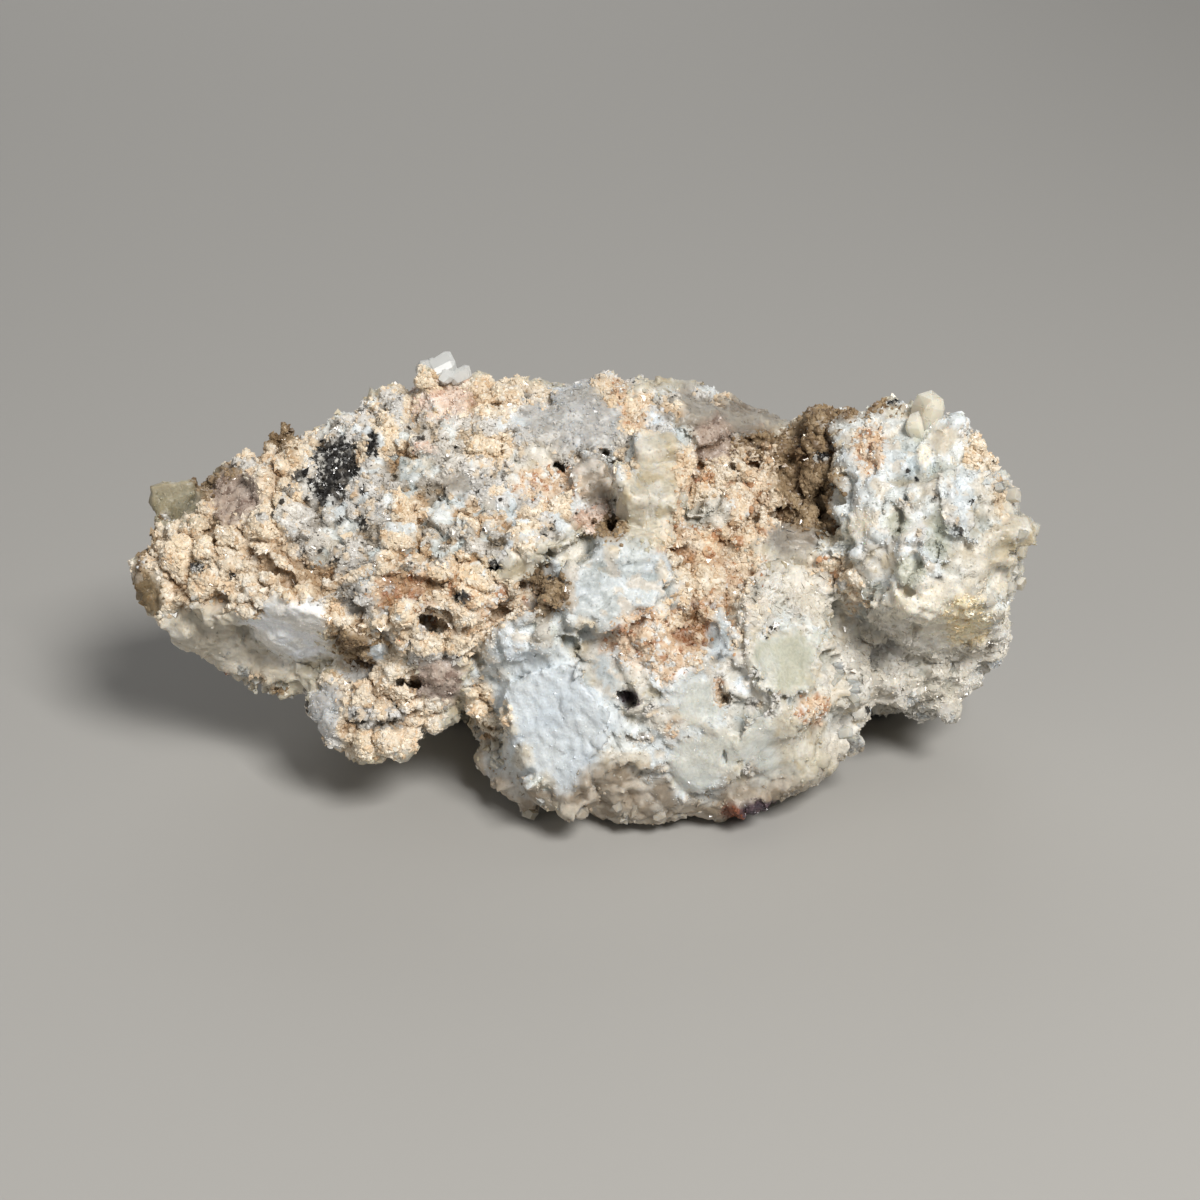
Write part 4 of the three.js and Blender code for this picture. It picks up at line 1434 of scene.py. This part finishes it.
# Rows of small crystals along chains of pixels: the pixels, lean in the picture as right and down, how many,
# widths and lengths in millimetres, mineral
FRINGES = {
    "belly": (
        [(160, 610), (186, 626), (216, 644), (236, 664), (262, 678), (286, 686)],
        (-0.4, 1.0), 10, (1.4, 2.4), (0.1, 0.6), "ice"),
    "heel": (
        [(488, 740), (498, 764), (518, 788), (540, 804), (562, 812)],
        (-0.7, 0.7), 8, (1.2, 2.2), (0.1, 0.5), "ice"),
    "foot": (
        [(570, 812), (640, 818), (700, 818), (724, 814)],
        (0.0, 1.0), 24, (1.0, 2.2), (0.2, 0.8), "wax"),
    "foot_right": (
        [(778, 796), (800, 788), (842, 760), (868, 735)],
        (0.4, 1.0), 22, (1.0, 2.2), (0.2, 0.8), "wax"),
    "right_low": (
        [(838, 660), (858, 690), (868, 720), (850, 745)],
        (0.9, 0.4), 20, (1.2, 2.2), (0.1, 0.6), "crust"),
    "skirt": (
        [(884, 692), (908, 704), (930, 712), (950, 714), (974, 702), (992, 688), (1002, 662), (1004, 638)],
        (0.4, 0.8), 26, (1.0, 2.0), (0.1, 0.7), "glaze"),
    "knob_rim": (
        [(998, 470), (1014, 510), (1018, 550), (1014, 590), (1006, 625)],
        (1.0, 0.1), 26, (1.2, 2.4), (0.2, 1.0), "ice"),
}
CRYSTAL_SHADES = (0.9, 1.06)
# Crystals of the rim: how deep they sit and how they lean, and which places take them
RIM_SINK = 0.6
RIM_OUTWARD = 0.7
RIM_LEAN = 0.35
RIM_JITTER_PX = 5
RIM_DEEPEST = CAMERA_DISTANCE + 60
RIM_FACING = -0.2
# Crystals of the back: where they stand, how many for each square millimetre, their sizes, lean and depth
BACK_REACH = 12.0
BACK_FACING = 0.2
BACK_DENSITY = 0.24
BACK_WIDTHS = (1.5, 3.2)
BACK_LENGTHS = (1.8, 4.2)
BACK_LOWEST = 2.5
BACK_LEAN = 0.45
BACK_SINK = 0.5
# Crystals whose tips would come closer to the table than SHORT_BELOW are no longer than SHORT_LENGTH
SHORT_BELOW = 0.5
SHORT_LENGTH = 1.2


def tints_of(mineral, count, rng):
    """Random colours from a mineral's palette."""
    found = np.full(count, MINERAL_NAMES.index(mineral))
    return pick_colours(found, rng.random(count)) * rng.uniform(*CRYSTAL_SHADES, (count, 1))


def with_tints(shape, tints):
    """A shape's points and faces, with one colour for each of its equal parts."""
    points, faces = shape
    return points, faces, np.repeat(tints, len(points) // len(tints), axis=0)


def fringe_shapes(field, rng):
    """Crystals in rows along the rim."""
    shapes = []
    for row, lean, count, widths, lengths, mineral in FRINGES.values():
        row = np.array(row, float)
        along = np.sort(rng.uniform(0, len(row) - 1, count))
        pixels = np.stack([np.interp(along, np.arange(len(row)), row[:, k]) for k in range(2)], axis=1)
        places = field.hits(pixels + rng.normal(size=(count, 2)) * RIM_JITTER_PX)
        outward = field.normals(places)
        seen = (to_photo(places)[2] < RIM_DEEPEST) & (outward @ FORWARD < RIM_FACING)
        places, outward = places[seen], outward[seen]
        directions = RIM_OUTWARD * outward + lean[0] * RIGHT - lean[1] * UPWARD
        directions = directions + RIM_LEAN * rng.normal(size=outward.shape)
        wide = rng.uniform(*widths, len(places))
        tall = rng.uniform(*lengths, len(places)) + RIM_SINK * wide
        places = places - RIM_SINK * wide[:, None] * outward
        shape = prisms(places, directions, wide, tall, rng)
        shapes.append(with_tints(shape, tints_of(mineral, len(places), rng)))
    return shapes


def back_shapes(points, triangles, front, rng):
    """Stubby crystals on the sides that the photograph doesn't show."""
    middles = points[triangles].mean(axis=1)
    away = unit(face_normals(points, triangles)) @ FORWARD
    hidden = (front.behind(middles) > BACK_REACH) & (away > BACK_FACING) & (middles[:, 2] > BACK_LOWEST)
    places, outward = spread(points, triangles, BACK_DENSITY * hidden, rng)
    covered = front.covers(places + BACK_LENGTHS[1] * outward)
    places, outward = places[covered], outward[covered]
    count = len(places)
    directions = outward + BACK_LEAN * rng.normal(size=(count, 3))
    widths = rng.uniform(*BACK_WIDTHS, count)
    lengths = rng.uniform(*BACK_LENGTHS, count)
    low = places[:, 2] + unit(directions)[:, 2] * lengths - widths < SHORT_BELOW
    lengths = np.where(low, np.minimum(lengths, SHORT_LENGTH), lengths)
    shape = prisms(places - BACK_SINK * widths[:, None] * outward, directions, widths, lengths, rng)
    return with_tints(shape, tints_of("calcite", count, rng))


def make_crystals(points, triangles, field, front, material):
    """The rows of crystals along the rim, and the crystals on the back. None reaches below the table."""
    rng = np.random.default_rng(SEED + 1)
    for name, shapes in (
        ("rim_crystals", fringe_shapes(field, rng)),
        ("back_crystals", [back_shapes(points, triangles, front, rng)]),
    ):
        corners, faces, tints = joined(shapes)
        corners[:, 2] = np.maximum(corners[:, 2], 0)
        new_object(name, corners, faces, tints, material, "calcite")


BLOCK_BEVEL = 0.2
BLOCK_CHIPS = 0.17


def bevelled_block(size, rng):
    """A block with chipped corners, as points and triangles."""
    shape = bmesh.new()
    bmesh.ops.create_cube(shape, size=1)
    for vertex in shape.verts:
        vertex.co += Vector(rng.uniform(-BLOCK_CHIPS, BLOCK_CHIPS, 3))
    bmesh.ops.bevel(shape, geom=shape.edges, offset=BLOCK_BEVEL, segments=1, affect="EDGES")
    bmesh.ops.triangulate(shape, faces=shape.faces)
    points, faces = arrays_of(shape)
    return points * np.array(size), faces


KNOB_PIXEL = (927, 418)
CHIP_PIXEL = (444, 384)
# Blocks of the clear chip: push in millimetres as right, up and towards the camera, size, turn in degrees
CHIP_BLOCKS = {
    "middle": ((-0.2, 2.0, -1.6), (3.4, 3.2, 2.8), (16, -20, 24)),
    "left": ((-2.1, 1.6, -1.4), (2.6, 2.8, 2.5), (30, 12, 50)),
    "left_top": ((-1.1, 2.4, -1.8), (2.2, 2.2, 1.8), (-20, 30, 10)),
    "right": ((1.9, 1.2, -1.8), (2.8, 2.6, 1.8), (-16, -30, 10)),
    "front": ((0.5, 1.1, -0.9), (2.6, 2.0, 1.7), (40, 10, 70)),
}
# Blocks of the crystal on the knob, in the same way
KNOB_BLOCKS = {
    "tall": ((0.2, 0.1, -1.2), (3.3, 3.1, 6.0), (10, 6, 24)),
    "side": ((-1.2, -1.4, -0.7), (2.2, 2.4, 4.0), (14, -12, -10)),
}


def block_cluster(field, pixel, blocks, rng):
    """Points and faces of blocks seated on the surface behind a pixel."""
    seat = field.hits([pixel])[0]
    shapes = []
    for push, size, angles in blocks.values():
        points, faces = bevelled_block(size, rng)
        points = points @ turn_matrix(angles).T
        points += pushed(seat, push)
        shapes.append((points, faces, np.ones((len(points), 3))))
    points, faces, _ = joined(shapes)
    return points, faces


def make_blocks(field, clear, calcite):
    """The clear chip on the crest, and the blocky crystal on top of the knob."""
    rng = np.random.default_rng(SEED + 3)
    points, faces = block_cluster(field, CHIP_PIXEL, CHIP_BLOCKS, rng)
    new_object("clear_chip", points, faces, None, clear, "calcite")
    points, faces = block_cluster(field, KNOB_PIXEL, KNOB_BLOCKS, rng)
    # The knob's crystal takes the pale tint that is lightened with painted light.
    tints = np.repeat(tints_of("pearl", 1, rng), len(points), axis=0)
    new_object("knob_crystal", points, faces, tints, calcite, "calcite")


# Materials

def new_material(name):
    material = bpy.data.materials.new(name)
    material.use_nodes = True
    return material, material.node_tree.nodes, material.node_tree.links


NOISE_RANGE = (0.3, 0.7)
ROUGHNESS_SWING = 0.12


def map_range(nodes, low, high):
    """A node that takes the usual range of noise to the range from low to high."""
    node = nodes.new("ShaderNodeMapRange")
    for socket, value in zip(("From Min", "From Max", "To Min", "To Max"), (*NOISE_RANGE, low, high)):
        node.inputs[socket].default_value = value
    return node


def tinted_material(name, speckle_size, contrast, bump_height, roughness):
    """The colour at each point, broken up by noise that also roughens the surface. Sizes in millimetres."""
    material, nodes, links = new_material(name)
    shader = nodes["Principled BSDF"]
    tint = nodes.new("ShaderNodeVertexColor")
    tint.layer_name = "tint"
    place = nodes.new("ShaderNodeTexCoord")
    speckle = nodes.new("ShaderNodeTexNoise")
    speckle.inputs["Scale"].default_value = 1 / (speckle_size * MM)
    speckle.inputs["Detail"].default_value = 4
    light = map_range(nodes, 1 - contrast, 1 + 0.5 * contrast)
    gloss = map_range(nodes, roughness - ROUGHNESS_SWING, roughness + ROUGHNESS_SWING)
    mix = nodes.new("ShaderNodeMix")
    mix.data_type = "RGBA"
    mix.blend_type = "MULTIPLY"
    mix.inputs["Factor"].default_value = 1
    bump = nodes.new("ShaderNodeBump")
    bump.inputs["Strength"].default_value = 0.5
    bump.inputs["Distance"].default_value = bump_height * MM
    links.new(place.outputs["Object"], speckle.inputs["Vector"])
    links.new(speckle.outputs["Fac"], light.inputs["Value"])
    links.new(speckle.outputs["Fac"], gloss.inputs["Value"])
    links.new(tint.outputs["Color"], mix.inputs["A"])
    links.new(light.outputs["Result"], mix.inputs["B"])
    links.new(mix.outputs["Result"], shader.inputs["Base Color"])
    links.new(gloss.outputs["Result"], shader.inputs["Roughness"])
    links.new(speckle.outputs["Fac"], bump.inputs["Height"])
    links.new(bump.outputs["Normal"], shader.inputs["Normal"])
    return material, shader


def glowing(shader, depth):
    """Sets how deep light spreads under the surface, in millimetres. How much of it does is set apart."""
    shader.inputs["Subsurface Radius"].default_value = (1.0, 0.8, 0.6)
    shader.inputs["Subsurface Scale"].default_value = depth * MM


def druse_material():
    """Sugary crust."""
    material, shader = tinted_material(
        "druse", speckle_size=0.35, contrast=0.12, bump_height=0.16, roughness=0.42)
    glowing(shader, depth=1.1)
    tint = material.node_tree.nodes["Color Attribute"]
    material.node_tree.links.new(tint.outputs["Alpha"], shader.inputs["Subsurface Weight"])
    return material


def sparkle_material():
    """Small bright faces of the sugary crust."""
    material, shader = tinted_material(
        "sparkle", speckle_size=0.5, contrast=0.08, bump_height=0.04, roughness=0.24)
    shader.inputs["IOR"].default_value = 1.6
    return material


def calcite_material():
    """Waxy crystals that some light passes through."""
    material, shader = tinted_material(
        "calcite", speckle_size=1.2, contrast=0.1, bump_height=0.12, roughness=0.34)
    glowing(shader, depth=2.4)
    shader.inputs["Subsurface Weight"].default_value = 0.7
    shader.inputs["IOR"].default_value = 1.58
    shader.inputs["Transmission Weight"].default_value = 0.18
    return material


def dark_material():
    """Shiny black grains."""
    material, shader = tinted_material(
        "dark_mineral", speckle_size=0.4, contrast=0.2, bump_height=0.1, roughness=0.24)
    shader.inputs["IOR"].default_value = 1.9
    return material


def clear_material():
    """See-through calcite that takes a little of the light."""
    material, nodes, links = new_material("clear_calcite")
    shader = nodes["Principled BSDF"]
    shader.inputs["Base Color"].default_value = (0.93, 0.94, 0.92, 1)
    shader.inputs["Roughness"].default_value = 0.42
    shader.inputs["IOR"].default_value = 1.58
    shader.inputs["Transmission Weight"].default_value = 0.45
    soak = nodes.new("ShaderNodeVolumeAbsorption")
    soak.inputs["Color"].default_value = (0.86, 0.87, 0.83, 1)
    soak.inputs["Density"].default_value = 40
    links.new(soak.outputs["Volume"], nodes["Material Output"].inputs["Volume"])
    return material


def floor_material():
    material, nodes, _ = new_material("floor")
    shader = nodes["Principled BSDF"]
    shader.inputs["Base Color"].default_value = (0.40, 0.39, 0.37, 1)
    shader.inputs["Roughness"].default_value = 0.7
    return material


# Camera, light and floor

def make_camera():
    data = bpy.data.cameras.new("camera")
    data.sensor_width = SENSOR_MM
    data.lens = SENSOR_MM * FOCAL_PX / PHOTO_SIZE
    data.clip_start = 0.01
    data.clip_end = 10
    camera = bpy.data.objects.new("camera", data)
    bpy.context.scene.collection.objects.link(camera)
    camera.location = Vector(EYE * MM)
    camera.rotation_mode = "QUATERNION"
    camera.rotation_quaternion = Vector(FORWARD).to_track_quat("-Z", "Y")
    bpy.context.scene.camera = camera


LIGHT_TARGET = Vector((0, 0, 0.02))


def area_light(name, place, size, power, colour):
    data = bpy.data.lights.new(name, "AREA")
    data.size = size
    data.energy = power
    data.color = colour
    light = bpy.data.objects.new(name, data)
    bpy.context.scene.collection.objects.link(light)
    light.location = place
    light.rotation_mode = "QUATERNION"
    light.rotation_quaternion = (LIGHT_TARGET - Vector(place)).to_track_quat("-Z", "Y")


def make_light():
    area_light("key", place=(0.24, -0.44, 0.56), size=0.22, power=6.2, colour=(1.0, 0.985, 0.96))
    area_light("fill", place=(-0.50, -0.45, 0.24), size=0.6, power=0.8, colour=(1.0, 0.98, 0.95))
    area_light("back", place=(-0.10, 0.60, 0.35), size=0.6, power=1.2, colour=(1.0, 0.99, 0.97))
    world = bpy.data.worlds.new("studio")
    world.use_nodes = True
    sky = world.node_tree.nodes["Background"]
    sky.inputs["Color"].default_value = (0.97, 0.98, 1.0, 1)
    sky.inputs["Strength"].default_value = 0.10
    bpy.context.scene.world = world
    bpy.context.scene.view_settings.view_transform = "Standard"


def make_floor():
    half = 1.5
    corners = [(-half, -half, 0), (half, -half, 0), (half, half, 0), (-half, half, 0)]
    mesh = bpy.data.meshes.new("floor")
    mesh.from_pydata(corners, [], [(0, 1, 2, 3)])
    mesh.materials.append(floor_material())
    floor = bpy.data.objects.new("floor", mesh)
    bpy.context.scene.collection.objects.link(floor)


def make_specimen():
    """The mass, its grains and its larger crystals."""
    field = solid_field()
    shape_front(field)
    front = FrontMap(field)
    druse = druse_material()
    calcite = calcite_material()
    points, triangles, found = make_mass(field, front, druse)
    make_grains(points, triangles, found, field, front, druse, sparkle_material(), dark_material())
    make_crystals(points, triangles, field, front, calcite)
    make_blocks(field, clear_material(), calcite)


make_camera()
make_light()
make_floor()
make_specimen()
